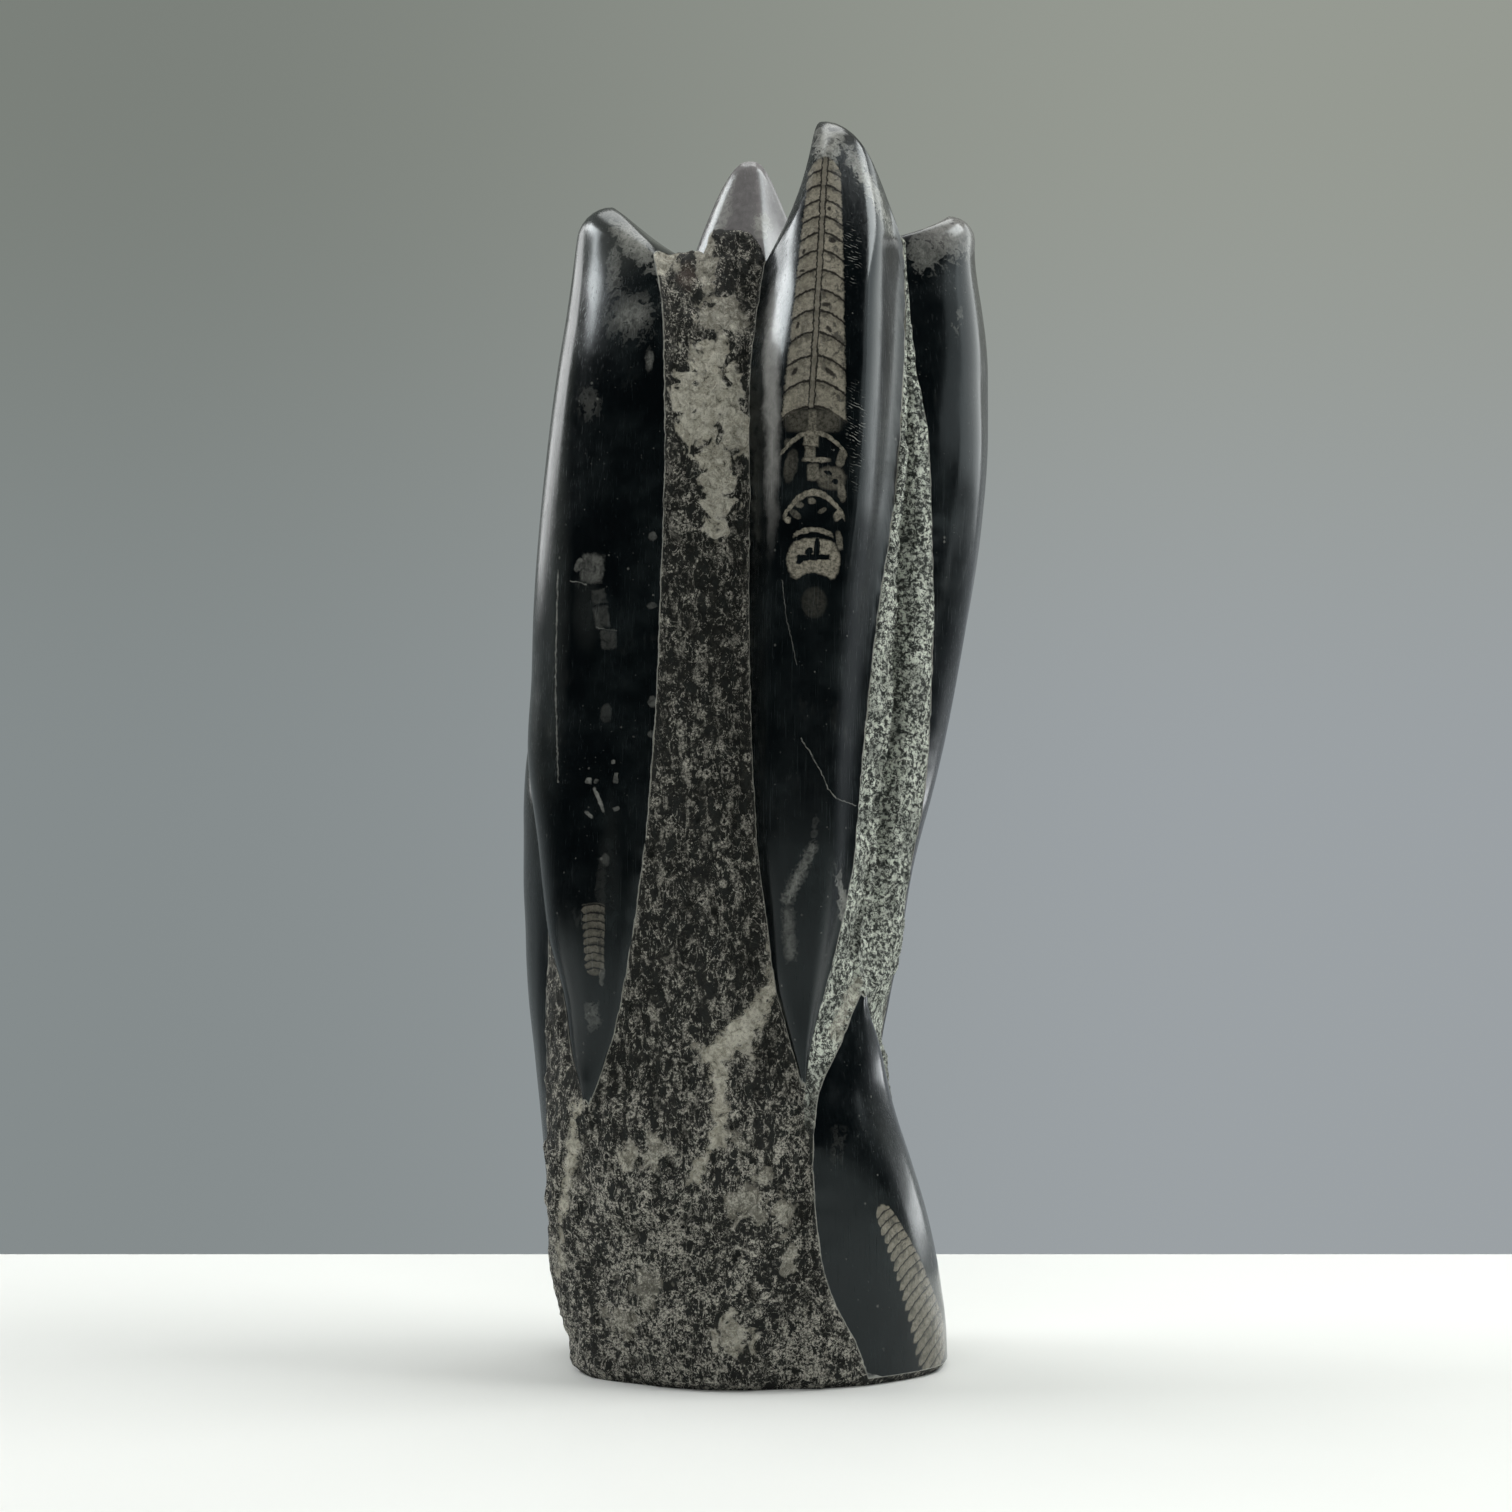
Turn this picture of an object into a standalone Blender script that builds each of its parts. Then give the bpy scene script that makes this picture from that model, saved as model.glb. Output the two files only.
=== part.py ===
"""An orthoceras fossil tower: one block of black limestone, carved into polished ridges and rough flutes.

Four ridges run down from pointed spires and three more rise from the base, each between two sharp edges.
Between the ridges the stone is left as the point chisel broke it. The solid is one closed skin, a sphere's
grid of rings and meridians moved onto the carved form: every ridge and flute has its own meridians, so the
sharp edges fall on edges of the mesh. Sizes are in millimetres until the last step; +Z is up, -Y the front.
"""

import math

import bmesh
import bpy
import numpy as np
from mathutils import Vector, noise

MM = 0.001
NAME = "orthoceras_tower"

# The middle of the hollow in the crown, where the inner faces of the spires meet, and of the base.
CROWN_FLOOR = (8.0, 4.0, 422.0)
BASE_MIDDLE = (0.0, 0.0, 0.0)

# Each ridge, counterclockwise seen from above. start and end are its two sharp edges from the base up, as
# (z, x, y). polished is the stretch between its points; past a point the two lines run on as part of the rough
# flute, which takes in the whole strip between them. bulge is how far the crest stands out from the straight
# line between the edges, and where on that line it lies, as (z, out, share). form is the flat share of the
# crest, then the power of the fall to the start edge and to the end edge, then how hollow each fall is, 0 for
# a dome and 1 for a bell. rim is the height of the start edge, tip and end edge, and the powers of the fall
# from the tip to them.
RIDGES = {
    "left": {
        "start": [
            (0, -63, -36), (60, -66, -41), (90, -65.5, -46), (102, -63, -51), (124, -68, -44),
            (147, -71.5, -40), (167, -77, -33), (186, -79.5, -27), (205, -81.5, -20), (219, -83.5, -12),
            (234, -85, 0), (270, -80, 17), (320, -74, 25), (380, -67, 26), (425, -62, 20), (450, -60, 10),
        ],
        "end": [
            (0, -44, -50), (60, -50, -55), (90, -57, -54), (102, -61, -53), (115, -57, -55),
            (134, -51, -58), (160, -46, -60), (182, -42.5, -60), (234, -37, -59), (294, -34, -56),
            (350, -32.5, -52), (388, -33, -48), (408, -34, -43), (424, -37, -36), (450, -48, -25),
        ],
        "bulge": [
            (0, 1, 0.5), (90, 0, 0.5), (130, 4, 0.5), (180, 12, 0.5), (234, 18, 0.5), (290, 25, 0.52),
            (350, 26, 0.54), (400, 22, 0.54), (430, 17, 0.52), (450, 11, 0.5),
        ],
        "form": (0.0, 2.2, 1.4, 0.0, 0.0),
        "polished": (104, 500),
        "rim": (425, 448, 428, 2.4, 2.2),
    },
    "front": {
        "start": [
            (0, 12, -61), (60, 10, -64), (95, 14, -64.5), (112, 18, -64), (130, 14, -64), (151, 8.5, -63),
            (171, 6, -62), (201, 2, -60), (238, 0, -57), (275, -1, -54), (332, -1, -50), (389, 0, -46),
            (412, 3, -38), (440, 8, -30), (480, 14, -22),
        ],
        "end": [
            (0, 28, -60), (40, 23.5, -64.5), (70, 21.5, -65), (112, 20, -64), (127, 22, -63),
            (143, 26, -61), (162, 31, -59), (191, 37.5, -56), (235, 41.5, -52), (293, 48, -46),
            (329, 53.5, -40), (371, 57, -36), (410, 58.5, -28), (434, 58, -18), (480, 48, -10),
        ],
        "bulge": [
            (0, 0, 0.5), (100, 0, 0.5), (130, 3, 0.5), (180, 9, 0.48), (235, 15, 0.46), (300, 20, 0.46),
            (390, 24, 0.46), (430, 23, 0.48), (460, 15, 0.5), (480, 8, 0.5),
        ],
        "form": (0.2, 2.5, 2.0, 0.0, 0.9),
        "polished": (112, 500),
        "rim": (424, 480, 437, 1.9, 2.6),
    },
    "low_right": {
        "start": [
            (0, 44.5, -53), (19, 38, -58), (31, 31.5, -62), (46, 26.5, -64.5), (67, 23.7, -65.5),
            (103, 23.8, -63.5), (113, 25.7, -60.5), (121, 29.5, -57), (130, 34, -53), (138, 37, -50),
            (147, 41, -45.5), (160, 40.5, -47), (190, 45, -45), (235, 50, -43.5), (293, 54.5, -40.5),
            (335, 57.5, -37), (371, 59.2, -34), (390, 58.8, -31), (410, 58.9, -27), (434, 58.3, -17.6),
            (450, 57, -14),
        ],
        "end": [
            (0, 58, 30), (46, 60, 22), (82, 56, 4), (103, 53, -12), (121, 49.5, -25), (131, 46.8, -31),
            (138, 44.5, -36), (147, 43.5, -42), (160, 48, -33), (190, 53, -33), (235, 59, -35),
            (293, 62, -34.5), (335, 63, -33), (371, 62, -31.5), (390, 60.3, -28.6), (410, 59.5, -25),
            (434, 58.9, -16.9), (450, 57.4, -13),
        ],
        "bulge": [
            (0, 24, 0.48), (46, 25, 0.46), (82, 18, 0.45), (103, 11, 0.45), (131, 4, 0.5), (150, 0, 0.5),
            (450, 0, 0.5),
        ],
        "form": (0.0, 1.5, 2.2, 0.0, 0.0),
        "polished": (-50, 146),
        "rim": (437, 437, 436.5, 2.0, 2.0),
    },
    "right": {
        "start": [
            (0, 54, 34), (60, 58, 28), (90, 54.5, 17), (112, 52, 16), (118, 51, 17), (140, 53, 6),
            (165, 57.5, -10), (175, 58.5, -16), (190, 60.5, -20), (220, 66, -24), (245, 68, -26),
            (284, 69, -28), (326, 68.5, -28), (362, 66.5, -28.5), (383, 62.5, -27), (410, 60, -23.5),
            (435, 59.5, -16), (450, 65, -12),
        ],
        "end": [
            (0, 49, 38), (60, 55, 35), (90, 50.5, 27), (112, 49.5, 20), (118, 49.5, 20), (150, 51, 26),
            (190, 55, 32), (245, 65, 34), (326, 78, 33), (383, 80, 31), (430, 73, 27), (450, 74, 20),
        ],
        "bulge": [
            (0, 0, 0.5), (110, 0, 0.5), (140, 2, 0.5), (170, 2.5, 0.5), (203, 4, 0.5), (245, 9, 0.52),
            (300, 14, 0.52), (336, 16.5, 0.52), (367, 18, 0.52), (402, 21, 0.52), (425, 21, 0.5),
            (450, 19, 0.5),
        ],
        "form": (0.05, 2.2, 2.2, 0.0, 0.0),
        "polished": (118, 500),
        "rim": (436, 446, 425, 2.0, 3.0),
    },
    "low_back": {
        "start": [
            (0, 46, 42), (80, 53, 38), (140, 50, 36), (200, 51, 43), (250, 54, 46), (320, 64, 42),
            (380, 66, 38), (425, 58, 33), (450, 56, 28),
        ],
        "end": [
            (0, 6, 55), (80, 11, 60), (140, 21, 60), (200, 36, 55), (245, 48, 49), (320, 49, 48),
            (380, 50, 44), (425, 42, 38), (450, 40, 34),
        ],
        "bulge": [(0, 9, 0.5), (80, 11, 0.5), (150, 9, 0.5), (210, 5, 0.5), (250, 0, 0.5), (450, 0, 0.5)],
        "form": (0.0, 1.8, 1.8, 0.0, 0.0),
        "polished": (-50, 246),
        "rim": (423, 422, 422, 2.0, 2.0),
    },
    "back": {
        "start": [
            (0, -1, 55), (60, 2, 58), (100, 4, 60), (115, 3, 59.5), (128, 5, 59), (160, 16, 58),
            (220, 28, 56), (300, 35, 52), (380, 36, 46), (425, 27, 41), (474, 16, 38),
        ],
        "end": [
            (0, -24, 53), (60, -22, 56), (100, -6, 59), (115, 0, 59.5), (128, -3, 59), (160, -17, 57),
            (220, -33, 53), (300, -39, 48), (380, -37, 42), (425, -28, 36), (474, -20, 34),
        ],
        "bulge": [
            (0, 0, 0.5), (110, 0, 0.5), (140, 4, 0.5), (200, 9, 0.5), (300, 14, 0.5), (380, 17, 0.5),
            (430, 16, 0.5), (460, 12, 0.5), (474, 10, 0.5),
        ],
        "form": (0.08, 2.0, 2.0, 0.0, 0.0),
        "polished": (115, 500),
        "rim": (424, 474, 425, 3.0, 3.0),
    },
    "low_left": {
        "start": [
            (0, -44, 48), (60, -57, 49), (120, -66, 47), (190, -74, 43), (270, -75.5, 38), (315, -72.5, 35),
            (333, -71, 34.5), (350, -66, 36.5), (380, -57, 36), (425, -50, 28), (450, -47, 20),
        ],
        "end": [
            (0, -62, 10), (20, -69, 2), (48, -75.5, -10), (56, -76, -14), (82, -78, -22), (117, -79, -26.5),
            (137, -79.5, -26.5), (156, -78.8, -26), (168, -78.3, -27.5), (186, -80, -25), (205, -82, -18),
            (219, -84, -10), (234, -85.4, 2.5), (270, -80.2, 19.5), (315, -75, 28), (333, -73.2, 30.5),
            (350, -70.5, 31.5), (380, -64, 30.5), (425, -57.5, 24), (450, -54, 15),
        ],
        "bulge": [
            (0, 12, 0.45), (48, 12, 0.45), (80, 10, 0.45), (117, 11, 0.48), (164, 13, 0.5),
            (211, 10, 0.5), (250, 6, 0.5), (300, 2, 0.5), (320, 0.5, 0.5), (333, 0, 0.5), (450, 0, 0.5),
        ],
        "form": (0.0, 2.0, 1.8, 0.0, 0.0),
        "polished": (-50, 333),
        "rim": (425, 425, 425, 2.0, 2.0),
    },
}

# The rough flute after each ridge: how far its floor stands out from the straight line between the two sharp
# edges (z, out), the depth of the step at its start edge and end edge, and the lumps on its rim as (share,
# half width, height).
FLUTES = {
    "left": {"bulge": [(0, 7), (80, 5), (180, 2), (300, 0), (430, 2)], "step": (2.5, 1.0),
             "lumps": [(0.25, 0.15, 2), (0.69, 0.3, 11)]},
    "front": {"bulge": [(0, 1), (150, 0), (300, 1), (430, 0)], "step": (1.5, 1.5), "lumps": []},
    "low_right": {"bulge": [(0, 2), (100, 2), (140, 4), (160, 5), (180, 3), (300, 2), (430, 0)],
                  "step": (1.5, 1.5), "lumps": []},
    "right": {"bulge": [(0, 1), (300, 0), (430, 0)], "step": (2.0, 1.5), "lumps": []},
    "low_back": {"bulge": [(0, 2), (300, 0), (430, 0)], "step": (1.5, 2.0), "lumps": []},
    "back": {"bulge": [(0, 5), (100, 4), (250, -1), (430, -2)], "step": (2.0, 2.0),
             "lumps": [(0.5, 0.3, -3)]},
    "low_left": {"bulge": [(0, 7), (60, 7), (120, 3), (160, 0), (430, 0)], "step": (0.6, 0.8), "lumps": []},
}

CREST_SOFTNESS = 0.16    # how gently a ridge turns over its crest, as a share of its half width
STEP_SPREAD = 4.0        # how far from a sharp edge the step down to a flute's floor is complete
STEP_LIMIT = 0.12        # deepest such step, as a share of the flute's width
TIP_LENGTH = 8.0         # how far from a ridge's point its form has wholly taken over from the flute's
ROUGH_WIDTH = 4.0        # a strip narrower than this is less rough
CROWN_DISH = (1.2, 3.0)  # powers of the inner faces' fall from the rim to the floor of the crown
RIDGE_ROUND = 10.0       # radius of a spire's top
FLUTE_ROUND = 4.0        # radius of a flute's upper rim
BASE_ROUND = 3.0         # radius of the worn edge round the base
LUMP_SIZE, LUMP_DEPTH = 26.0, 1.8      # broad hollows and swellings of the chiselled stone
PIT_SIZE, PIT_DEPTH = 9.0, 1.0         # blows of the point chisel
PIT_SHIFT = Vector((7, 3, 5))          # keeps the blows out of step with the swellings
FOOT_CLEARANCE = 0.4                   # lowest that a roughened point may come to the flat underside

# How many meridians each strip has, and how many rings each stretch of the skin.
RIDGE_MERIDIANS = {"left": 9, "front": 10, "low_right": 6, "right": 7, "low_back": 5, "back": 7,
                   "low_left": 6}
FLUTE_MERIDIANS = {"left": 8, "front": 3, "low_right": 2, "right": 3, "low_back": 3, "back": 4,
                   "low_left": 3}
SIDE_RINGS, ROUND_RINGS, CROWN_RINGS = 46, 4, 8
BASE_SHARES = (0.4, 0.75)


def along(rows, z):
    """The values of rows at the heights z, on smooth curves through the rows; constant past their ends."""
    rows = np.array(rows, float)
    heights, values = rows[:, 0], rows[:, 1:]
    slopes = np.gradient(values, heights, axis=0)
    z = np.clip(z, heights[0], heights[-1])
    i = np.clip(np.searchsorted(heights, z) - 1, 0, len(heights) - 2)
    span = heights[i + 1] - heights[i]
    u = ((z - heights[i]) / span)[..., None]
    span = span[..., None]
    return (
        values[i] * (1 + 2 * u) * (1 - u) ** 2
        + values[i + 1] * u * u * (3 - 2 * u)
        + (slopes[i] * (1 - u) + slopes[i + 1] * -u) * u * (1 - u) * span
    )


def smooth_step(u):
    u = np.clip(u, 0, 1)
    return u * u * (3 - 2 * u)


def ridge_section(t, crest, form):
    """How far out a ridge stands at the share t between its edges, 1 at the crest and 0 at the edges."""
    flat, start_power, end_power, start_hollow, end_hollow = form
    before = t < crest
    side = np.where(before, crest, 1 - crest)
    away = np.clip((np.abs(t - crest) / side - flat) / (1 - flat), 0, 1)
    edge = math.hypot(1, CREST_SOFTNESS) - CREST_SOFTNESS
    away = (np.hypot(away, CREST_SOFTNESS) - CREST_SOFTNESS) / edge
    dome = 1 - away ** np.where(before, start_power, end_power)
    bell = 1 - smooth_step(away)
    hollow = np.where(before, start_hollow, end_hollow)
    return dome * (1 - hollow) + bell * hollow


def outward(start, end):
    """The unit vector square to the line from start to end that points away from the tower's middle."""
    run = end - start
    across = np.stack([run[..., 1], -run[..., 0]], -1)
    return across / np.maximum(np.linalg.norm(across, axis=-1, keepdims=True), 1e-9)


def polish(ridge, z):
    """1 where the ridge stands out and is polished, down to 0 past its points."""
    low, high = ridge["polished"]
    return smooth_step((z - low) / TIP_LENGTH) * smooth_step((high - z) / TIP_LENGTH)


def wide(start, end, z):
    """1 where the strip between two edges is wide, down to 0 where they meet."""
    return smooth_step(np.linalg.norm(along(end, z) - along(start, z), axis=-1) / ROUGH_WIDTH)


def ridge_points(ridge, t, z):
    start, end = along(ridge["start"], z), along(ridge["end"], z)
    bulge = along(ridge["bulge"], z)
    rise = bulge[..., 0] * ridge_section(t, bulge[..., 1], ridge["form"])
    return start + (end - start) * t[..., None] + outward(start, end) * rise[..., None]


def flute_points(flute, before, after, t, z):
    start, end = along(before["end"], z), along(after["start"], z)
    width = np.linalg.norm(end - start, axis=-1)
    rise = along(flute["bulge"], z)[..., 0] * 4 * t * (1 - t)
    for share, depth, ridge in ((t, flute["step"][0], before), (1 - t, flute["step"][1], after)):
        depth = np.minimum(depth, width * STEP_LIMIT) * polish(ridge, z)
        rise = rise - depth * smooth_step(share * width / STEP_SPREAD)
    return start + (end - start) * t[..., None] + outward(start, end) * rise[..., None]


def ridge_rim(ridge, t):
    """The height of a ridge's rim: an arch from edge to edge over the tip."""
    start, tip, end, start_power, end_power = ridge["rim"]
    low = start * (1 - t) + end * t
    away = np.abs(2 * t - 1)
    return low + (tip - low) * (1 - away ** np.where(t < 0.5, start_power, end_power))


def flute_rim(flute, before, after, t):
    height = before["rim"][2] * (1 - t) + after["rim"][0] * t
    for share, half_width, lump in flute["lumps"]:
        height = height + lump * (1 - smooth_step(2 * np.abs(t - share) / half_width - 1))
    return height


def meridians():
    """The strips round the tower in order: (kind, ridge name, next ridge name, shares of its meridians)."""
    names = list(RIDGES)
    for i, name in enumerate(names):
        following = names[(i + 1) % len(names)]
        yield "ridge", name, following, np.arange(RIDGE_MERIDIANS[name]) / RIDGE_MERIDIANS[name]
        yield "flute", name, following, np.arange(FLUTE_MERIDIANS[name]) / FLUTE_MERIDIANS[name]


def skin():
    """The tower's skin as (points, roughness) on a grid of rings from the base's middle to the crown's."""
    side = np.linspace(0, 1, SIDE_RINGS)[:, None]
    turns = np.linspace(0, math.pi / 2, ROUND_RINGS + 1)[1:, None]
    columns, rough = [], []
    for kind, name, following, shares in meridians():
        ridge, flute, after = RIDGES[name], FLUTES[name], RIDGES[following]
        if kind == "ridge":
            rim = ridge_rim(ridge, shares)
            radius = FLUTE_ROUND + (RIDGE_ROUND - FLUTE_ROUND) * 4 * shares * (1 - shares)
        else:
            rim, radius = flute_rim(flute, ridge, after, shares), FLUTE_ROUND + 0 * shares
        straight = BASE_ROUND + side * (rim - radius - BASE_ROUND)
        z = np.concatenate([straight, rim - radius + radius * np.sin(turns)])
        t = np.broadcast_to(shares, z.shape)
        past_points = 1 - polish(ridge, z)
        if kind == "ridge":
            flat = ridge_points(ridge, t, z)
            rough.append(past_points * wide(ridge["start"], ridge["end"], z))
        else:
            flat = flute_points(flute, ridge, after, t, z)
            rough.append(np.where(shares == 0, past_points, 1) * wide(ridge["end"], after["start"], z))
        inset = radius * (1 - np.cos(turns))
        points = np.concatenate([flat, z[..., None]], -1)
        points[SIDE_RINGS:, :, :2] += inward(flat[SIDE_RINGS:]) * inset[..., None]
        columns.append(points)
    wall, rough = np.concatenate(columns, 1), np.concatenate(rough, 1)
    base, crown = base_rings(wall), crown_rings(wall)
    crown_rough = rough[-1] * np.linspace(1, 0, CROWN_RINGS + 1)[1:, None]
    rough = np.concatenate([np.zeros(base.shape[:2]), rough, crown_rough])
    return np.concatenate([base, wall, crown]), rough


def inward(flat):
    to_middle = np.array(CROWN_FLOOR[:2]) - flat
    return to_middle / np.linalg.norm(to_middle, axis=-1, keepdims=True)


def base_rings(wall):
    """The flat underside, and the ring where its worn edge begins."""
    foot = wall[0].copy()
    foot[:, :2] += inward(foot[:, :2]) * BASE_ROUND
    foot[:, 2] = 0
    middle = np.array(BASE_MIDDLE)
    return np.stack([middle + (foot - middle) * share for share in (0.0, *BASE_SHARES, 1.0)])


def crown_rings(wall):
    """The inner faces of the spires, from the rim down to the floor of the crown."""
    rim, floor = wall[-1], np.array(CROWN_FLOOR)
    rings = []
    for k in range(1, CROWN_RINGS + 1):
        share = k / CROWN_RINGS
        ring = rim + (floor - rim) * share
        ring[:, 2] = floor[2] + (rim[:, 2] - floor[2]) * (1 - share**CROWN_DISH[0]) ** CROWN_DISH[1]
        rings.append(ring)
    return np.stack(rings)


def roughened(co, normal, amount):
    """A point of the chiselled stone, moved in or out by the lumps and pits there."""
    lump = noise.noise(co / LUMP_SIZE) * LUMP_DEPTH
    pit = noise.noise(co / PIT_SIZE + PIT_SHIFT) * PIT_DEPTH
    return co + normal * (lump + pit) * amount


def build_tower():
    points, rough = skin()
    rings, around = points.shape[:2]
    bm = bmesh.new()
    bmesh.ops.create_uvsphere(bm, u_segments=around, v_segments=rings - 1, radius=1)
    edges = np.cumsum([len(shares) for *_, shares in meridians()]) % around
    places, amounts = {}, {}
    for vert in bm.verts:
        ring = round((1 - math.acos(max(-1, min(1, vert.co.z))) / math.pi) * (rings - 1))
        meridian = round(math.atan2(vert.co.y, vert.co.x) / math.tau * around) % around
        places[vert] = ring, meridian
        vert.co = Vector(points[ring, meridian])
        amounts[vert] = rough[ring, meridian]
    for edge in bm.edges:
        if all(places[vert][1] in edges and not amounts[vert] for vert in edge.verts):
            edge.smooth = places[edge.verts[0]][1] != places[edge.verts[1]][1]
    bm.normal_update()
    moved = {vert: roughened(vert.co, vert.normal, amount) for vert, amount in amounts.items() if amount}
    for vert, place in moved.items():
        vert.co = place
        vert.co.z = max(place.z, FOOT_CLEARANCE)
    bmesh.ops.scale(bm, vec=(MM, MM, MM), verts=bm.verts)
    middle = [(min(v.co[i] for v in bm.verts) + max(v.co[i] for v in bm.verts)) / 2 for i in (0, 1)]
    bmesh.ops.translate(bm, vec=(-middle[0], -middle[1], 0), verts=bm.verts)
    mesh = bpy.data.meshes.new(NAME)
    bm.to_mesh(mesh)
    bm.free()
    tower = bpy.data.objects.new(NAME, mesh)
    return tower


def limestone():
    material = bpy.data.materials.new("black_limestone")
    material.use_nodes = True
    shader = material.node_tree.nodes["Principled BSDF"]
    shader.inputs["Base Color"].default_value = (0.035, 0.04, 0.043, 1)
    shader.inputs["Roughness"].default_value = 0.3
    return material


def main():
    for obj in list(bpy.data.objects):
        bpy.data.objects.remove(obj)
    collection = bpy.data.collections.new(NAME)
    bpy.context.scene.collection.children.link(collection)
    tower = build_tower()
    tower.data.materials.append(limestone())
    tower.data.shade_smooth()
    collection.objects.link(tower)


main()
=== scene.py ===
import math

import bmesh
import bpy
import numpy as np
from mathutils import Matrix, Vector, kdtree, noise


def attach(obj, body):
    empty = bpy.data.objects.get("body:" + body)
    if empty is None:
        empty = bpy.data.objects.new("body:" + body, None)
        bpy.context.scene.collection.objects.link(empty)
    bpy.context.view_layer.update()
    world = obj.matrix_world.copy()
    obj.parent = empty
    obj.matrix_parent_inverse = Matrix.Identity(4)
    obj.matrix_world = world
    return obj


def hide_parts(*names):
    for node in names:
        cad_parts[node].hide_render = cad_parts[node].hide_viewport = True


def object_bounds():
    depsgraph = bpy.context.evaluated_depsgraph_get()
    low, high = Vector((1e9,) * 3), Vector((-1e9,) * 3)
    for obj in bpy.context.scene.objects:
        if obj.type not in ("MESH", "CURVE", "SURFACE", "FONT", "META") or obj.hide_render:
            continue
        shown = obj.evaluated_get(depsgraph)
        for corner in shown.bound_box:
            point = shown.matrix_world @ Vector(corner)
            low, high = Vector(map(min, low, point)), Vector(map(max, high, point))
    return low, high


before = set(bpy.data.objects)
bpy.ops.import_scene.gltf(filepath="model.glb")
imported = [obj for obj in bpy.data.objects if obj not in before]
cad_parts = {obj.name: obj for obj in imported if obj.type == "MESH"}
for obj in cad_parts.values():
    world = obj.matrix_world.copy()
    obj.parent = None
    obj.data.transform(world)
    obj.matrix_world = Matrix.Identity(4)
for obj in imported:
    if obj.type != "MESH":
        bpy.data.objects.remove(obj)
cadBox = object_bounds()
print("frame loaded")

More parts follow.
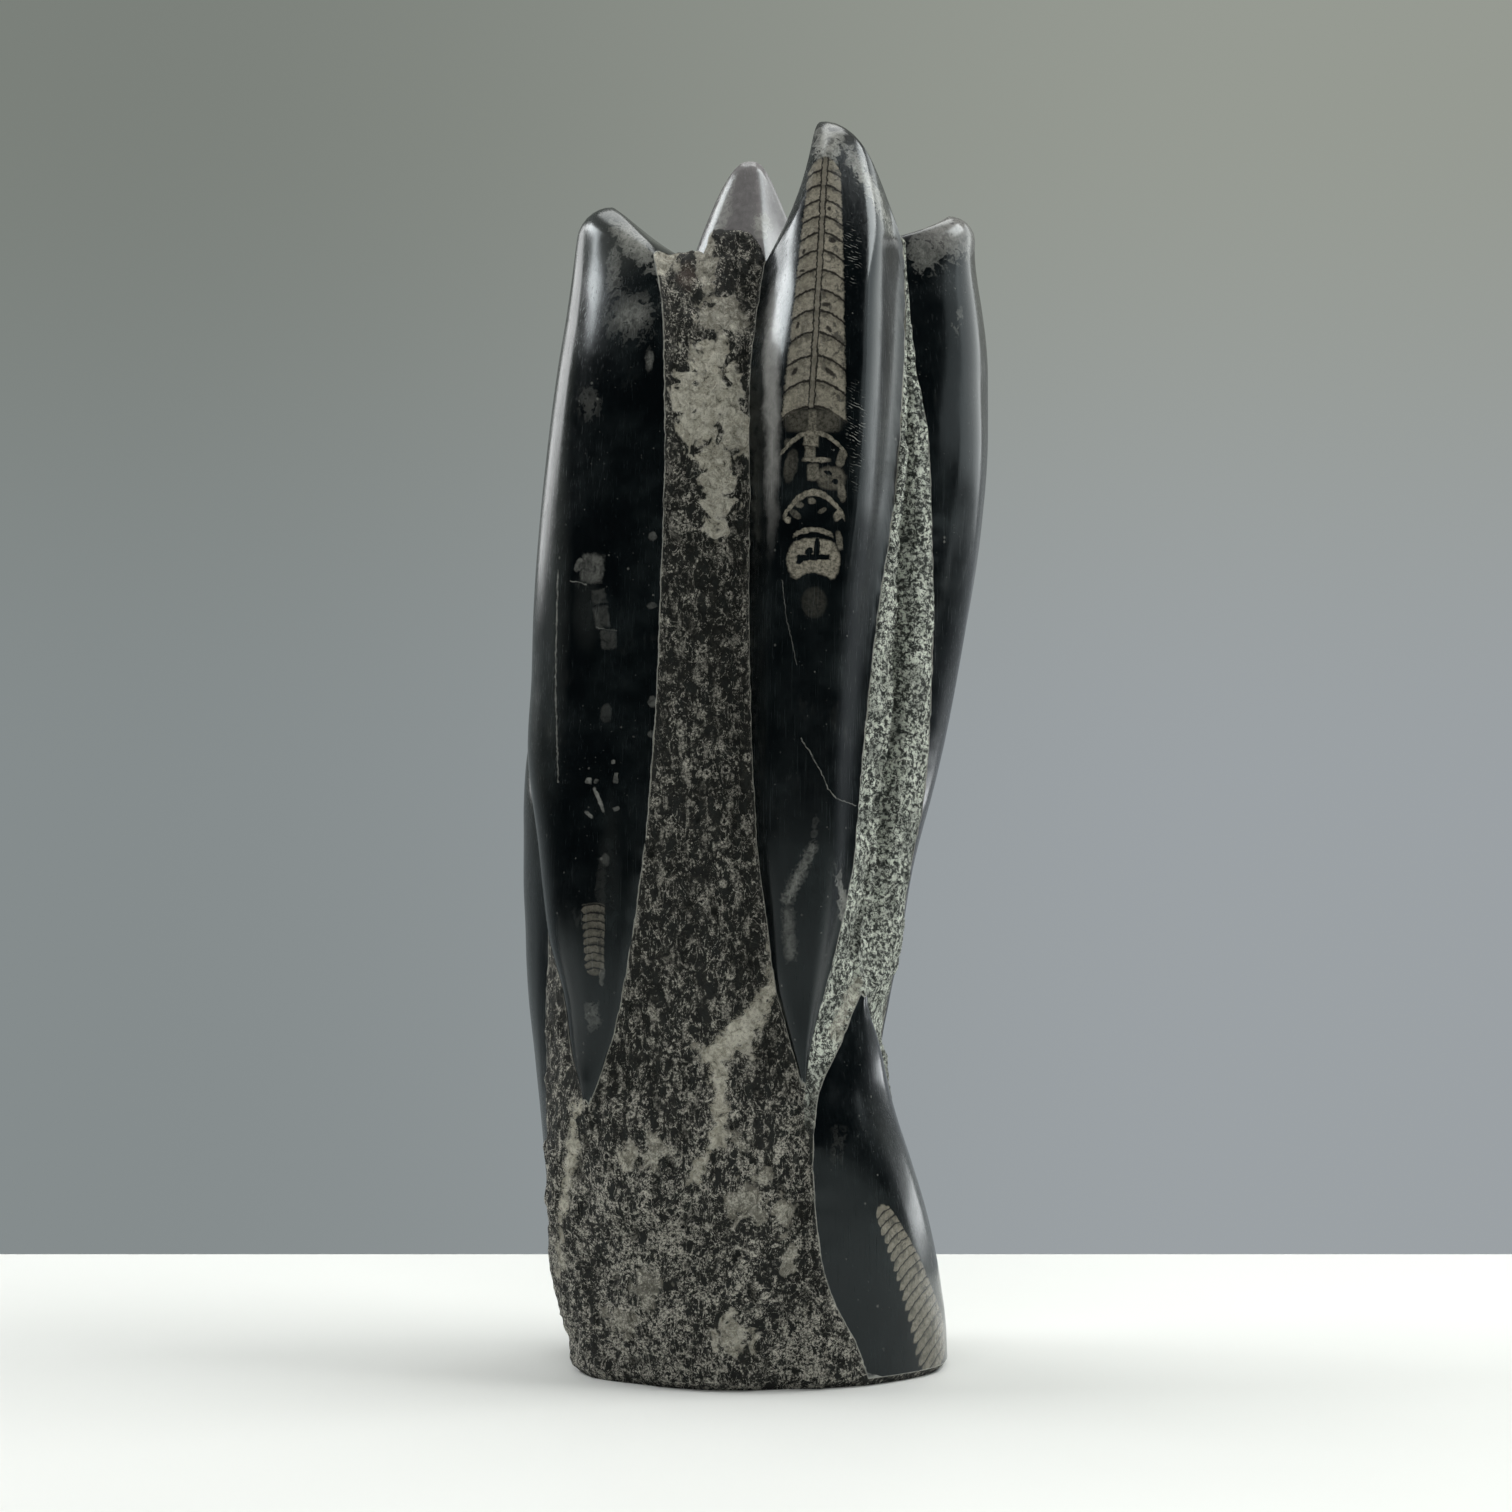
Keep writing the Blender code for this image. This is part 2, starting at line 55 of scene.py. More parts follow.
# The fossil tower's shape.
# Lengths are in millimetres until the mesh is done. start and end are a ridge's two arrises from
# the base up, as (z, x, y); bulge is how far its crest stands out, and where, as (z, out, share).
tower = {
    "shift": (-1.508, 2.762, 0.0),      # brings the carved form over the middle of its base
    "crownFloor": (8.0, 4.0, 422.0),    # where the inner faces of the spires meet
    "sideRings": 168, "roundRings": 7, "crownRings": 20,
    "baseShares": (0.35, 0.7, 0.9),
    "crestSoftness": 0.16,
    "stepSpread": 4.0, "stepLimit": 0.12,
    "tipLength": 8.0, "roughWidth": 4.0,
    "crownDish": (1.2, 3.0),
    "ridgeRound": 10.0, "fluteRound": 4.0, "baseRound": 3.0,
    "longestRoughEdge": 1.75,           # longer edges of the chiselled faces are cut in two
    "ridges": {
        "left": {
            "columns": 26, "flute": 34,
            "start": [
                (0, -63, -36), (60, -66, -41), (90, -65.5, -46), (102, -63, -51), (124, -68, -44),
                (147, -71.5, -40), (167, -77, -33), (186, -79.5, -27), (205, -81.5, -20),
                (219, -83.5, -12), (234, -85, 0), (270, -80, 17), (320, -74, 25), (380, -67, 26),
                (425, -62, 20), (450, -60, 10)],
            "end": [
                (0, -44, -50), (60, -50, -55), (90, -57, -54), (102, -61, -53), (115, -57, -55),
                (134, -51, -58), (160, -46, -60), (182, -42.5, -60), (234, -37, -59), (294, -34, -56),
                (350, -32.5, -52), (388, -33, -48), (408, -34, -43), (424, -37, -36), (450, -48, -25)],
            "bulge": [
                (0, 1, 0.5), (90, 0, 0.5), (130, 4, 0.5), (180, 12, 0.5), (234, 18, 0.5),
                (290, 25, 0.52), (350, 26, 0.54), (400, 22, 0.54), (430, 17, 0.52), (450, 11, 0.5)],
            "form": (0.0, 2.2, 1.4, 0.0, 0.0),
            "polished": (104, 500),
            "rim": (425, 448, 428, 2.4, 2.2),
            "floor": [(0, 7), (80, 5), (180, 2), (300, 0), (430, 2)],
            "step": (2.5, 1.0), "lumps": [(0.25, 0.15, 2), (0.69, 0.3, 11)]},
        "front": {
            "columns": 30, "flute": 12,
            "start": [
                (0, 12, -61), (60, 10, -64), (95, 14, -64.5), (112, 18, -64), (130, 14, -64),
                (151, 8.5, -63), (171, 6, -62), (201, 2, -60), (238, 0, -57), (275, -1, -54),
                (332, -1, -50), (389, 0, -46), (412, 3, -38), (440, 8, -30), (480, 14, -22)],
            "end": [
                (0, 28, -60), (40, 23.5, -64.5), (70, 21.5, -65), (112, 20, -64), (127, 22, -63),
                (143, 26, -61), (162, 31, -59), (191, 37.5, -56), (235, 41.5, -52), (293, 48, -46),
                (329, 53.5, -40), (371, 57, -36), (410, 58.5, -28), (434, 58, -18), (480, 48, -10)],
            "bulge": [
                (0, 0, 0.5), (100, 0, 0.5), (130, 3, 0.5), (180, 9, 0.48), (235, 15, 0.46),
                (300, 20, 0.46), (390, 24, 0.46), (430, 23, 0.48), (460, 15, 0.5), (480, 8, 0.5)],
            "form": (0.2, 2.5, 2.0, 0.0, 0.9),
            "polished": (112, 500),
            "rim": (424, 480, 437, 1.9, 2.6),
            "floor": [(0, 1), (150, 0), (300, 1), (430, 0)],
            "step": (1.5, 1.5), "lumps": []},
        "lowRight": {
            "columns": 18, "flute": 8,
            "start": [
                (0, 44.5, -53), (19, 38, -58), (31, 31.5, -62), (46, 26.5, -64.5), (67, 23.7, -65.5),
                (103, 23.8, -63.5), (113, 25.7, -60.5), (121, 29.5, -57), (130, 34, -53),
                (138, 37, -50), (147, 41, -45.5), (160, 40.5, -47), (190, 45, -45), (235, 50, -43.5),
                (293, 54.5, -40.5), (335, 57.5, -37), (371, 59.2, -34), (390, 58.8, -31),
                (410, 58.9, -27), (434, 58.3, -17.6), (450, 57, -14)],
            "end": [
                (0, 58, 30), (46, 60, 22), (82, 56, 4), (103, 53, -12), (121, 49.5, -25),
                (131, 46.8, -31), (138, 44.5, -36), (147, 43.5, -42), (160, 48, -33), (190, 53, -33),
                (235, 59, -35), (293, 62, -34.5), (335, 63, -33), (371, 62, -31.5), (390, 60.3, -28.6),
                (410, 59.5, -25), (434, 58.9, -16.9), (450, 57.4, -13)],
            "bulge": [
                (0, 24, 0.48), (46, 25, 0.46), (82, 18, 0.45), (103, 11, 0.45), (131, 4, 0.5),
                (150, 0, 0.5), (450, 0, 0.5)],
            "form": (0.0, 1.5, 2.2, 0.0, 0.0),
            "polished": (-50, 146),
            "rim": (437, 437, 436.5, 2.0, 2.0),
            "floor": [(0, 2), (100, 2), (140, 4), (160, 5), (180, 3), (300, 2), (430, 0)],
            "step": (1.5, 1.5), "lumps": []},
        "right": {
            "columns": 24, "flute": 10,
            "start": [
                (0, 54, 34), (60, 58, 28), (90, 54.5, 17), (112, 52, 16), (118, 51, 17), (140, 53, 6),
                (165, 57.5, -10), (175, 58.5, -16), (190, 60.5, -20), (220, 66, -24), (245, 68, -26),
                (284, 69, -28), (326, 68.5, -28), (362, 66.5, -28.5), (383, 62.5, -27),
                (410, 60, -23.5), (435, 59.5, -16), (450, 65, -12)],
            "end": [
                (0, 49, 38), (60, 55, 35), (90, 50.5, 27), (112, 49.5, 20), (118, 49.5, 20),
                (150, 51, 26), (190, 55, 32), (245, 65, 34), (326, 78, 33), (383, 80, 31),
                (430, 73, 27), (450, 74, 20)],
            "bulge": [
                (0, 0, 0.5), (110, 0, 0.5), (140, 2, 0.5), (170, 2.5, 0.5), (203, 4, 0.5),
                (245, 9, 0.52), (300, 14, 0.52), (336, 16.5, 0.52), (367, 18, 0.52), (402, 21, 0.52),
                (425, 21, 0.5), (450, 19, 0.5)],
            "form": (0.05, 2.2, 2.2, 0.0, 0.0),
            "polished": (118, 500),
            "rim": (436, 446, 425, 2.0, 3.0),
            "floor": [(0, 1), (300, 0), (430, 0)],
            "step": (2.0, 1.5), "lumps": []},
        "lowBack": {
            "columns": 14, "flute": 10,
            "start": [
                (0, 46, 42), (80, 53, 38), (140, 50, 36), (200, 51, 43), (250, 54, 46), (320, 64, 42),
                (380, 66, 38), (425, 58, 33), (450, 56, 28)],
            "end": [
                (0, 6, 55), (80, 11, 60), (140, 21, 60), (200, 36, 55), (245, 48, 49), (320, 49, 48),
                (380, 50, 44), (425, 42, 38), (450, 40, 34)],
            "bulge": [
                (0, 9, 0.5), (80, 11, 0.5), (150, 9, 0.5), (210, 5, 0.5), (250, 0, 0.5), (450, 0, 0.5)],
            "form": (0.0, 1.8, 1.8, 0.0, 0.0),
            "polished": (-50, 246),
            "rim": (423, 422, 422, 2.0, 2.0),
            "floor": [(0, 2), (300, 0), (430, 0)],
            "step": (1.5, 2.0), "lumps": []},
        "back": {
            "columns": 22, "flute": 14,
            "start": [
                (0, -1, 55), (60, 2, 58), (100, 4, 60), (115, 3, 59.5), (128, 5, 59), (160, 16, 58),
                (220, 28, 56), (300, 35, 52), (380, 36, 46), (425, 27, 41), (474, 16, 38)],
            "end": [
                (0, -24, 53), (60, -22, 56), (100, -6, 59), (115, 0, 59.5), (128, -3, 59),
                (160, -17, 57), (220, -33, 53), (300, -39, 48), (380, -37, 42), (425, -28, 36),
                (474, -20, 34)],
            "bulge": [
                (0, 0, 0.5), (110, 0, 0.5), (140, 4, 0.5), (200, 9, 0.5), (300, 14, 0.5),
                (380, 17, 0.5), (430, 16, 0.5), (460, 12, 0.5), (474, 10, 0.5)],
            "form": (0.08, 2.0, 2.0, 0.0, 0.0),
            "polished": (115, 500),
            "rim": (424, 474, 425, 3.0, 3.0),
            "floor": [(0, 5), (100, 4), (250, -1), (430, -2)],
            "step": (2.0, 2.0), "lumps": [(0.5, 0.3, -3)]},
        "lowLeft": {
            "columns": 18, "flute": 10,
            "start": [
                (0, -44, 48), (60, -57, 49), (120, -66, 47), (190, -74, 43), (270, -75.5, 38),
                (315, -72.5, 35), (333, -71, 34.5), (350, -66, 36.5), (380, -57, 36), (425, -50, 28),
                (450, -47, 20)],
            "end": [
                (0, -62, 10), (20, -69, 2), (48, -75.5, -10), (56, -76, -14), (82, -78, -22),
                (117, -79, -26.5), (137, -79.5, -26.5), (156, -78.8, -26), (168, -78.3, -27.5),
                (186, -80, -25), (205, -82, -18), (219, -84, -10), (234, -85.4, 2.5),
                (270, -80.2, 19.5), (315, -75, 28), (333, -73.2, 30.5), (350, -70.5, 31.5),
                (380, -64, 30.5), (425, -57.5, 24), (450, -54, 15)],
            "bulge": [
                (0, 12, 0.45), (48, 12, 0.45), (80, 10, 0.45), (117, 11, 0.48), (164, 13, 0.5),
                (211, 10, 0.5), (250, 6, 0.5), (300, 2, 0.5), (320, 0.5, 0.5), (333, 0, 0.5),
                (450, 0, 0.5)],
            "form": (0.0, 2.0, 1.8, 0.0, 0.0),
            "polished": (-50, 333),
            "rim": (425, 425, 425, 2.0, 2.0),
            "floor": [(0, 7), (60, 7), (120, 3), (160, 0), (430, 0)],
            "step": (0.6, 0.8), "lumps": []},
    },
}

# Material slots: 1 is chiselled stone, 0 polished stone; these ridges have polished slots of their own.
finishes = {"front": 2, "left": 3, "lowRight": 4}

# How the point chisel left the stone between the ridges.
chisel = {
    "lumpSize": 26.0, "lumpDepth": 1.8,
    "pitSize": 9.0, "pitDepth": 1.0, "pitShift": Vector((7, 3, 5)),
    # stretch below 1 makes the blows taller than wide
    "blowSize": 5.2, "blowDepth": 1.5, "blowStretch": 0.62,
    "crumbSize": 2.6, "crumbDepth": 0.5,
    # as shares of a blow's size
    "hollowReach": 0.62, "rimReach": 0.5, "rimWidth": 0.16, "rimHeight": 0.25,
    "blowWander": 0.35, "wanderSize": 6.0, "standOut": 0.35,
    "nibble": 0.45, "nibbleSize": 4.0,  # how far an arris wanders where the stone broke away
    "calmBeside": 3.0, "calmest": 0.25,  # the blows grow shallow this near to an arris, and how shallow
    "arrisReach": 20.0,
    "footClearance": 0.4,
}


def along(rows, z):
    # the values of rows at the heights z, on smooth curves through the rows
    rows = np.array(rows, float)
    heights, values = rows[:, 0], rows[:, 1:]
    slopes = np.gradient(values, heights, axis=0)
    z = np.clip(z, heights[0], heights[-1])
    i = np.clip(np.searchsorted(heights, z) - 1, 0, len(heights) - 2)
    span = heights[i + 1] - heights[i]
    u = ((z - heights[i]) / span)[..., None]
    span = span[..., None]
    return (values[i] * (1 + 2 * u) * (1 - u) ** 2 + values[i + 1] * u * u * (3 - 2 * u)
            + (slopes[i] * (1 - u) + slopes[i + 1] * -u) * u * (1 - u) * span)


def smoothStep(u):
    u = np.clip(u, 0, 1)
    return u * u * (3 - 2 * u)


def ridgeSection(t, crest, form):
    # 1 at the crest and 0 at both arrises
    flat, startPower, endPower, startHollow, endHollow = form
    soft = tower["crestSoftness"]
    before = t < crest
    side = np.where(before, crest, 1 - crest)
    away = np.clip((np.abs(t - crest) / side - flat) / (1 - flat), 0, 1)
    away = (np.hypot(away, soft) - soft) / (math.hypot(1, soft) - soft)
    dome = 1 - away ** np.where(before, startPower, endPower)
    hollow = np.where(before, startHollow, endHollow)
    return dome * (1 - hollow) + (1 - smoothStep(away)) * hollow


def outward(start, end):
    run = end - start
    across = np.stack([run[..., 1], -run[..., 0]], -1)
    return across / np.maximum(np.linalg.norm(across, axis=-1, keepdims=True), 1e-9)


def polishShare(ridge, z):
    low, high = ridge["polished"]
    return smoothStep((z - low) / tower["tipLength"]) * smoothStep((high - z) / tower["tipLength"])


def wideShare(start, end, z):
    return smoothStep(np.linalg.norm(along(end, z) - along(start, z), axis=-1) / tower["roughWidth"])


def ridgePoints(ridge, t, z):
    start, end = along(ridge["start"], z), along(ridge["end"], z)
    bulge = along(ridge["bulge"], z)
    rise = bulge[..., 0] * ridgeSection(t, bulge[..., 1], ridge["form"])
    return start + (end - start) * t[..., None] + outward(start, end) * rise[..., None]


def flutePoints(ridge, after, t, z):
    start, end = along(ridge["end"], z), along(after["start"], z)
    width = np.linalg.norm(end - start, axis=-1)
    rise = along(ridge["floor"], z)[..., 0] * 4 * t * (1 - t)
    for share, depth, side in ((t, ridge["step"][0], ridge), (1 - t, ridge["step"][1], after)):
        depth = np.minimum(depth, width * tower["stepLimit"]) * polishShare(side, z)
        rise = rise - depth * smoothStep(share * width / tower["stepSpread"])
    return start + (end - start) * t[..., None] + outward(start, end) * rise[..., None]


def ridgeRim(ridge, t):
    start, tip, end, startPower, endPower = ridge["rim"]
    low = start * (1 - t) + end * t
    return low + (tip - low) * (1 - np.abs(2 * t - 1) ** np.where(t < 0.5, startPower, endPower))


def fluteRim(ridge, after, t):
    height = ridge["rim"][2] * (1 - t) + after["rim"][0] * t
    for share, halfWidth, lump in ridge["lumps"]:
        height = height + lump * (1 - smoothStep(2 * np.abs(t - share) / halfWidth - 1))
    return height


def inward(flat):
    toMiddle = np.array(tower["crownFloor"][:2]) - flat
    return toMiddle / np.linalg.norm(toMiddle, axis=-1, keepdims=True)


# Points, roughness and finish on a grid of rings, from the middle of the base up the sides, over
# the rim and down to the floor of the crown. polished is told for the face that starts at a point.
def towerSkin():
    side = np.linspace(0, 1, tower["sideRings"])[:, None]
    turns = np.linspace(0, math.pi / 2, tower["roundRings"] + 1)[1:, None]
    names = list(tower["ridges"])
    points, rough, polished, greenish = [], [], [], []
    for i, name in enumerate(names):
        ridge, after = tower["ridges"][name], tower["ridges"][names[(i + 1) % len(names)]]
        for kind, count in (("ridge", ridge["columns"]), ("flute", ridge["flute"])):
            shares = np.arange(count) / count
            if kind == "ridge":
                rim = ridgeRim(ridge, shares)
                rounder = tower["ridgeRound"] - tower["fluteRound"]
                radius = tower["fluteRound"] + rounder * 4 * shares * (1 - shares)
            else:
                rim, radius = fluteRim(ridge, after, shares), tower["fluteRound"] + 0 * shares
            straight = tower["baseRound"] + side * (rim - radius - tower["baseRound"])
            z = np.concatenate([straight, rim - radius + radius * np.sin(turns)])
            t = np.broadcast_to(shares, z.shape)
            pastPoints = 1 - polishShare(ridge, z)
            if kind == "ridge":
                flat = ridgePoints(ridge, t, z)
                rough.append(pastPoints * wideShare(ridge["start"], ridge["end"], z))
                low, high = ridge["polished"]
                polished.append((z > low + 1) & (z < high - 1))
                greenish.append(np.full(z.shape, float(name == "lowRight")))
            else:
                flat = flutePoints(ridge, after, t, z)
                rough.append(np.where(shares == 0, pastPoints, 1) * wideShare(ridge["end"], after["start"],
                                                                              z))
                polished.append(np.zeros(z.shape, bool))
                greenish.append(np.full(z.shape, float(name in ("front", "lowRight"))))
            inset = radius * (1 - np.cos(turns))
            column = np.concatenate([flat, z[..., None]], -1)
            column[tower["sideRings"]:, :, :2] += inward(flat[tower["sideRings"]:]) * inset[..., None]
            points.append(column)
    wall, rough, polished, greenish = (np.concatenate(p, 1) for p in (points, rough, polished, greenish))
    foot = wall[0].copy()
    foot[:, :2] += inward(foot[:, :2]) * tower["baseRound"]
    foot[:, 2] = 0
    base = np.stack([foot * share for share in (0.0, *tower["baseShares"], 1.0)])
    rimRing, floor = wall[-1], np.array(tower["crownFloor"])
    crown = []
    for k in range(1, tower["crownRings"] + 1):
        share = k / tower["crownRings"]
        ring = rimRing + (floor - rimRing) * share
        fall = (1 - share ** tower["crownDish"][0]) ** tower["crownDish"][1]
        ring[:, 2] = floor[2] + (rimRing[:, 2] - floor[2]) * fall
        crown.append(ring)
    crown = np.stack(crown)
    fade = np.linspace(1, 0, tower["crownRings"] + 1)[1:, None]
    crownRough = np.maximum(rough[-1] * fade,
                            0.6 * smoothStep((0.75 - fade) / 0.3) * smoothStep(fade / 0.15))
    crownPolished = polished[-1] & (fade > 0.45)
    rough = np.concatenate([np.zeros(base.shape[:2]), rough, crownRough])
    polished = np.concatenate([np.zeros(base.shape[:2], bool), polished, crownPolished])
    greenish = np.concatenate([np.zeros(base.shape[:2]), greenish, greenish[-1] * fade])
    return np.concatenate([base, wall, crown]), rough, polished, greenish


# How far out the chiselled stone stands at a place, and how hollow it is there.
def chiselled(place):
    lump = noise.noise(place / chisel["lumpSize"]) * chisel["lumpDepth"]
    pit = noise.noise(place / chisel["pitSize"] + chisel["pitShift"]) * chisel["pitDepth"]
    spot = Vector((place.x, place.y, place.z * chisel["blowStretch"])) / chisel["blowSize"]
    spot += noise.noise_vector(place / chisel["wanderSize"]) * chisel["blowWander"]
    distances, centres = noise.voronoi(spot)
    force = noise.cell(centres[0] * 9.7)
    hollow = max(0.0, 1 - (distances[0] / chisel["hollowReach"]) ** 2) * (0.15 + 0.85 * force)
    crumbs = noise.fractal(place / chisel["crumbSize"], 0.75, 2.0, 3) * chisel["crumbDepth"]
    rim = math.exp(-((distances[0] - chisel["rimReach"]) / chisel["rimWidth"]) ** 2) * (force > 0.35)
    height = lump + pit - hollow * chisel["blowDepth"] + rim * chisel["rimHeight"] + crumbs
    height += chisel["standOut"]
    return height, hollow


def buildTower():
    points, rough, polished, greenish = towerSkin()
    ridges = tower["ridges"]
    owner = [name for name in ridges for _ in range(ridges[name]["columns"] + ridges[name]["flute"])]
    rings, around = points.shape[:2]
    bm = bmesh.new()
    bmesh.ops.create_uvsphere(bm, u_segments=around, v_segments=rings - 1, radius=1)
    roughLayer = bm.verts.layers.float.new("rough")
    greenLayer = bm.verts.layers.float.new("greenish")
    bm.verts.ensure_lookup_table()
    places = {}
    for vert in bm.verts:
        ring = round((1 - math.acos(max(-1, min(1, vert.co.z))) / math.pi) * (rings - 1))
        # the first one is at +y
        meridian = round(math.atan2(-vert.co.x, vert.co.y) / math.tau * around) % around
        places[vert] = ring, meridian
        vert.co = Vector(points[ring, meridian])
        vert[roughLayer] = rough[ring, meridian]
        vert[greenLayer] = greenish[ring, meridian]
    for face in bm.faces:
        corners = [places[v] for v in face.verts]
        ring = min(r for r, m in corners)
        columns = {m for r, m in corners if 0 < r < rings - 1}
        column = max(columns) if columns == {0, around - 1} else min(columns)
        face.material_index = finishes.get(owner[column], 0) if polished[ring, column] else 1
    print("tower carved:", len(bm.faces), "faces")

    # finer faces on the chiselled stone
    longEdges = [e for e in bm.edges
                 if e.calc_length() > tower["longestRoughEdge"]
                 and all(f.material_index == 1 for f in e.link_faces)
                 and min(v.co.z for v in e.verts) > 0.01]
    bmesh.ops.subdivide_edges(bm, edges=longEdges, cuts=1, use_grid_fill=True)
    roughLayer = bm.verts.layers.float["rough"]
    for edge in bm.edges:
        edge.smooth = len({f.material_index == 1 for f in edge.link_faces}) == 1 or any(
            v.co.z < 0.01 for v in edge.verts)
    bm.normal_update()
    arrisPoints = [v.co.copy() for e in bm.edges if not e.smooth for v in e.verts]
    arrisPoints += [(e.verts[0].co + e.verts[1].co) / 2 for e in bm.edges if not e.smooth]
    tree = kdtree.KDTree(len(arrisPoints))
    for i, co in enumerate(arrisPoints):
        tree.insert(co, i)
    tree.balance()
    arrisLayer = bm.verts.layers.float.new("arris")
    hollowLayer = bm.verts.layers.float.new("hollow")
    moved = {}
    for vert in bm.verts:
        away = tree.find(vert.co)[2]
        vert[arrisLayer] = min(away, chisel["arrisReach"])
        amount = vert[roughLayer]
        if amount > 0 and vert.co.z > 0.01:
            height, hollow = chiselled(vert.co)
            amount *= min(1.0, chisel["calmest"] + away / chisel["calmBeside"])
            moved[vert] = vert.co + vert.normal * height * amount
            vert[hollowLayer] = hollow * amount
        elif away < 1e-4 and vert.co.z > tower["baseRound"]:
            wander = noise.noise_vector(vert.co / chisel["nibbleSize"]) * chisel["nibble"]
            moved[vert] = vert.co + wander - vert.normal * wander.length * 0.6
    for vert, place in moved.items():
        vert.co = place
        vert.co.z = max(place.z, chisel["footClearance"])
    bmesh.ops.translate(bm, vec=tower["shift"], verts=bm.verts)
    bmesh.ops.scale(bm, vec=(0.001, 0.001, 0.001), verts=bm.verts)
    low, high = cadBox
    for vert in bm.verts:
        vert.co = [min(max(c, a), b) for c, a, b in zip(vert.co, low, high)]
    for face in bm.faces:
        face.smooth = True
    mesh = bpy.data.meshes.new("fossilTower")
    bm.to_mesh(mesh)
    bm.free()
    piece = bpy.data.objects.new("fossilTower", mesh)
    bpy.context.scene.collection.objects.link(piece)
    print("tower finished:", sum(len(p.vertices) - 2 for p in mesh.polygons), "triangles")
    return piece


# Node helpers.
def plug(tree, value, socket):
    if isinstance(value, bpy.types.NodeSocket):
        tree.links.new(value, socket)
    elif value is not None:
        if socket.type == "RGBA" and len(value) == 3:
            value = (*value, 1)
        socket.default_value = value


def calc(tree, operation, *values, clamp=False):
    node = tree.nodes.new("ShaderNodeMath")
    node.operation, node.use_clamp = operation, clamp
    for value, socket in zip(values, node.inputs):
        plug(tree, value, socket)
    return node.outputs[0]


def times(tree, *values):
    product = values[0]
    for value in values[1:]:
        product = calc(tree, "MULTIPLY", product, value)
    return product


def plus(tree, first, second):
    return calc(tree, "ADD", first, second)


def minus(tree, first, second):
    return calc(tree, "SUBTRACT", first, second)


def timesPlus(tree, first, second, third):
    # first times second, plus third
    return calc(tree, "MULTIPLY_ADD", first, second, third)


def vectorCalc(tree, operation, *values):
    node = tree.nodes.new("ShaderNodeVectorMath")
    node.operation = operation
    sockets = [s for s in node.inputs if s.enabled]
    for value, socket in zip(values, sockets):
        plug(tree, value, socket)
    return next(s for s in node.outputs if s.enabled)


def ramp(tree, value, low, high, toLow=0.0, toHigh=1.0):
    node = tree.nodes.new("ShaderNodeMapRange")
    node.interpolation_type, node.clamp = "SMOOTHSTEP", False    # a smooth step never leaves its range
    for v, socket in zip((value, low, high, toLow, toHigh), node.inputs):
        plug(tree, v, socket)
    return node.outputs[0]


def mixColour(tree, factor, first, second):
    node = tree.nodes.new("ShaderNodeMix")
    node.data_type = "RGBA"
    plug(tree, factor, node.inputs[0])
    plug(tree, first, node.inputs[6])
    plug(tree, second, node.inputs[7])
    return node.outputs[2]


def grain(tree, vector, size, detail=2.0, roughness=0.5, output="Fac", distortion=0.0):
    node = tree.nodes.new("ShaderNodeTexNoise")
    plug(tree, vector, node.inputs["Vector"])
    plug(tree, 1 / size, node.inputs["Scale"])
    plug(tree, detail, node.inputs["Detail"])
    plug(tree, roughness, node.inputs["Roughness"])
    plug(tree, distortion, node.inputs["Distortion"])
    return node.outputs[output]


def cells(tree, vector, size):
    node = tree.nodes.new("ShaderNodeTexVoronoi")
    plug(tree, vector, node.inputs["Vector"])
    plug(tree, 1 / size, node.inputs["Scale"])
    return node.outputs["Distance"], node.outputs["Color"]


def split(tree, vector):
    node = tree.nodes.new("ShaderNodeSeparateXYZ")
    plug(tree, vector, node.inputs[0])
    return node.outputs


def join(tree, x, y, z):
    node = tree.nodes.new("ShaderNodeCombineXYZ")
    for value, socket in zip((x, y, z), node.inputs):
        plug(tree, value, socket)
    return node.outputs[0]


def waver(tree, vector, size, detail, roughness, amount):
    # a direction that wanders with the place, up to about half of amount each way
    node = tree.nodes.new("ShaderNodeSeparateColor")
    plug(tree, grain(tree, vector, size, detail, roughness, output="Color"), node.inputs[0])
    return join(tree, *(times(tree, minus(tree, c, 0.5), amount) for c in node.outputs))


def brightest(tree, first, second):
    return second if first is None else calc(tree, "MAXIMUM", first, second)


def without(tree, mask, hole):
    return times(tree, mask, minus(tree, 1.0, hole))


def attribute(tree, name):
    node = tree.nodes.new("ShaderNodeAttribute")
    node.attribute_name = name
    return node.outputs["Fac"]


def stoneSpace(tree):
    # object coordinates in millimetres
    node = tree.nodes.new("ShaderNodeTexCoord")
    return vectorCalc(tree, "MULTIPLY", node.outputs["Object"], (1000, 1000, 1000))


def newGroup(name, inputs, outputs):
    group = bpy.data.node_groups.new(name, "ShaderNodeTree")
    for label, kind, value in inputs:
        socket = group.interface.new_socket(label, in_out="INPUT", socket_type="NodeSocket" + kind)
        socket.default_value = value
    for label, kind in outputs:
        group.interface.new_socket(label, in_out="OUTPUT", socket_type="NodeSocket" + kind)
    return group, group.nodes.new("NodeGroupInput").outputs, group.nodes.new("NodeGroupOutput").inputs


def place(tree, group, **values):
    node = tree.nodes.new("ShaderNodeGroup")
    node.node_tree = group
    for name, value in values.items():
        plug(tree, value, node.inputs[name])
    return node.outputs


def arrange(tree):
    # lays the nodes out in columns, outputs on the right
    depth = {}

    def visit(node, level):
        if depth.get(node, -1) < level:
            depth[node] = level
            for socket in node.inputs:
                for link in socket.links:
                    visit(link.from_node, level + 1)

    for node in tree.nodes:
        if not any(s.is_linked for s in node.outputs):
            visit(node, 0)
    rows = {}
    for node, level in depth.items():
        rows[level] = rows.get(level, 0) + 1
        node.location = (-230 * level, -190 * rows[level])


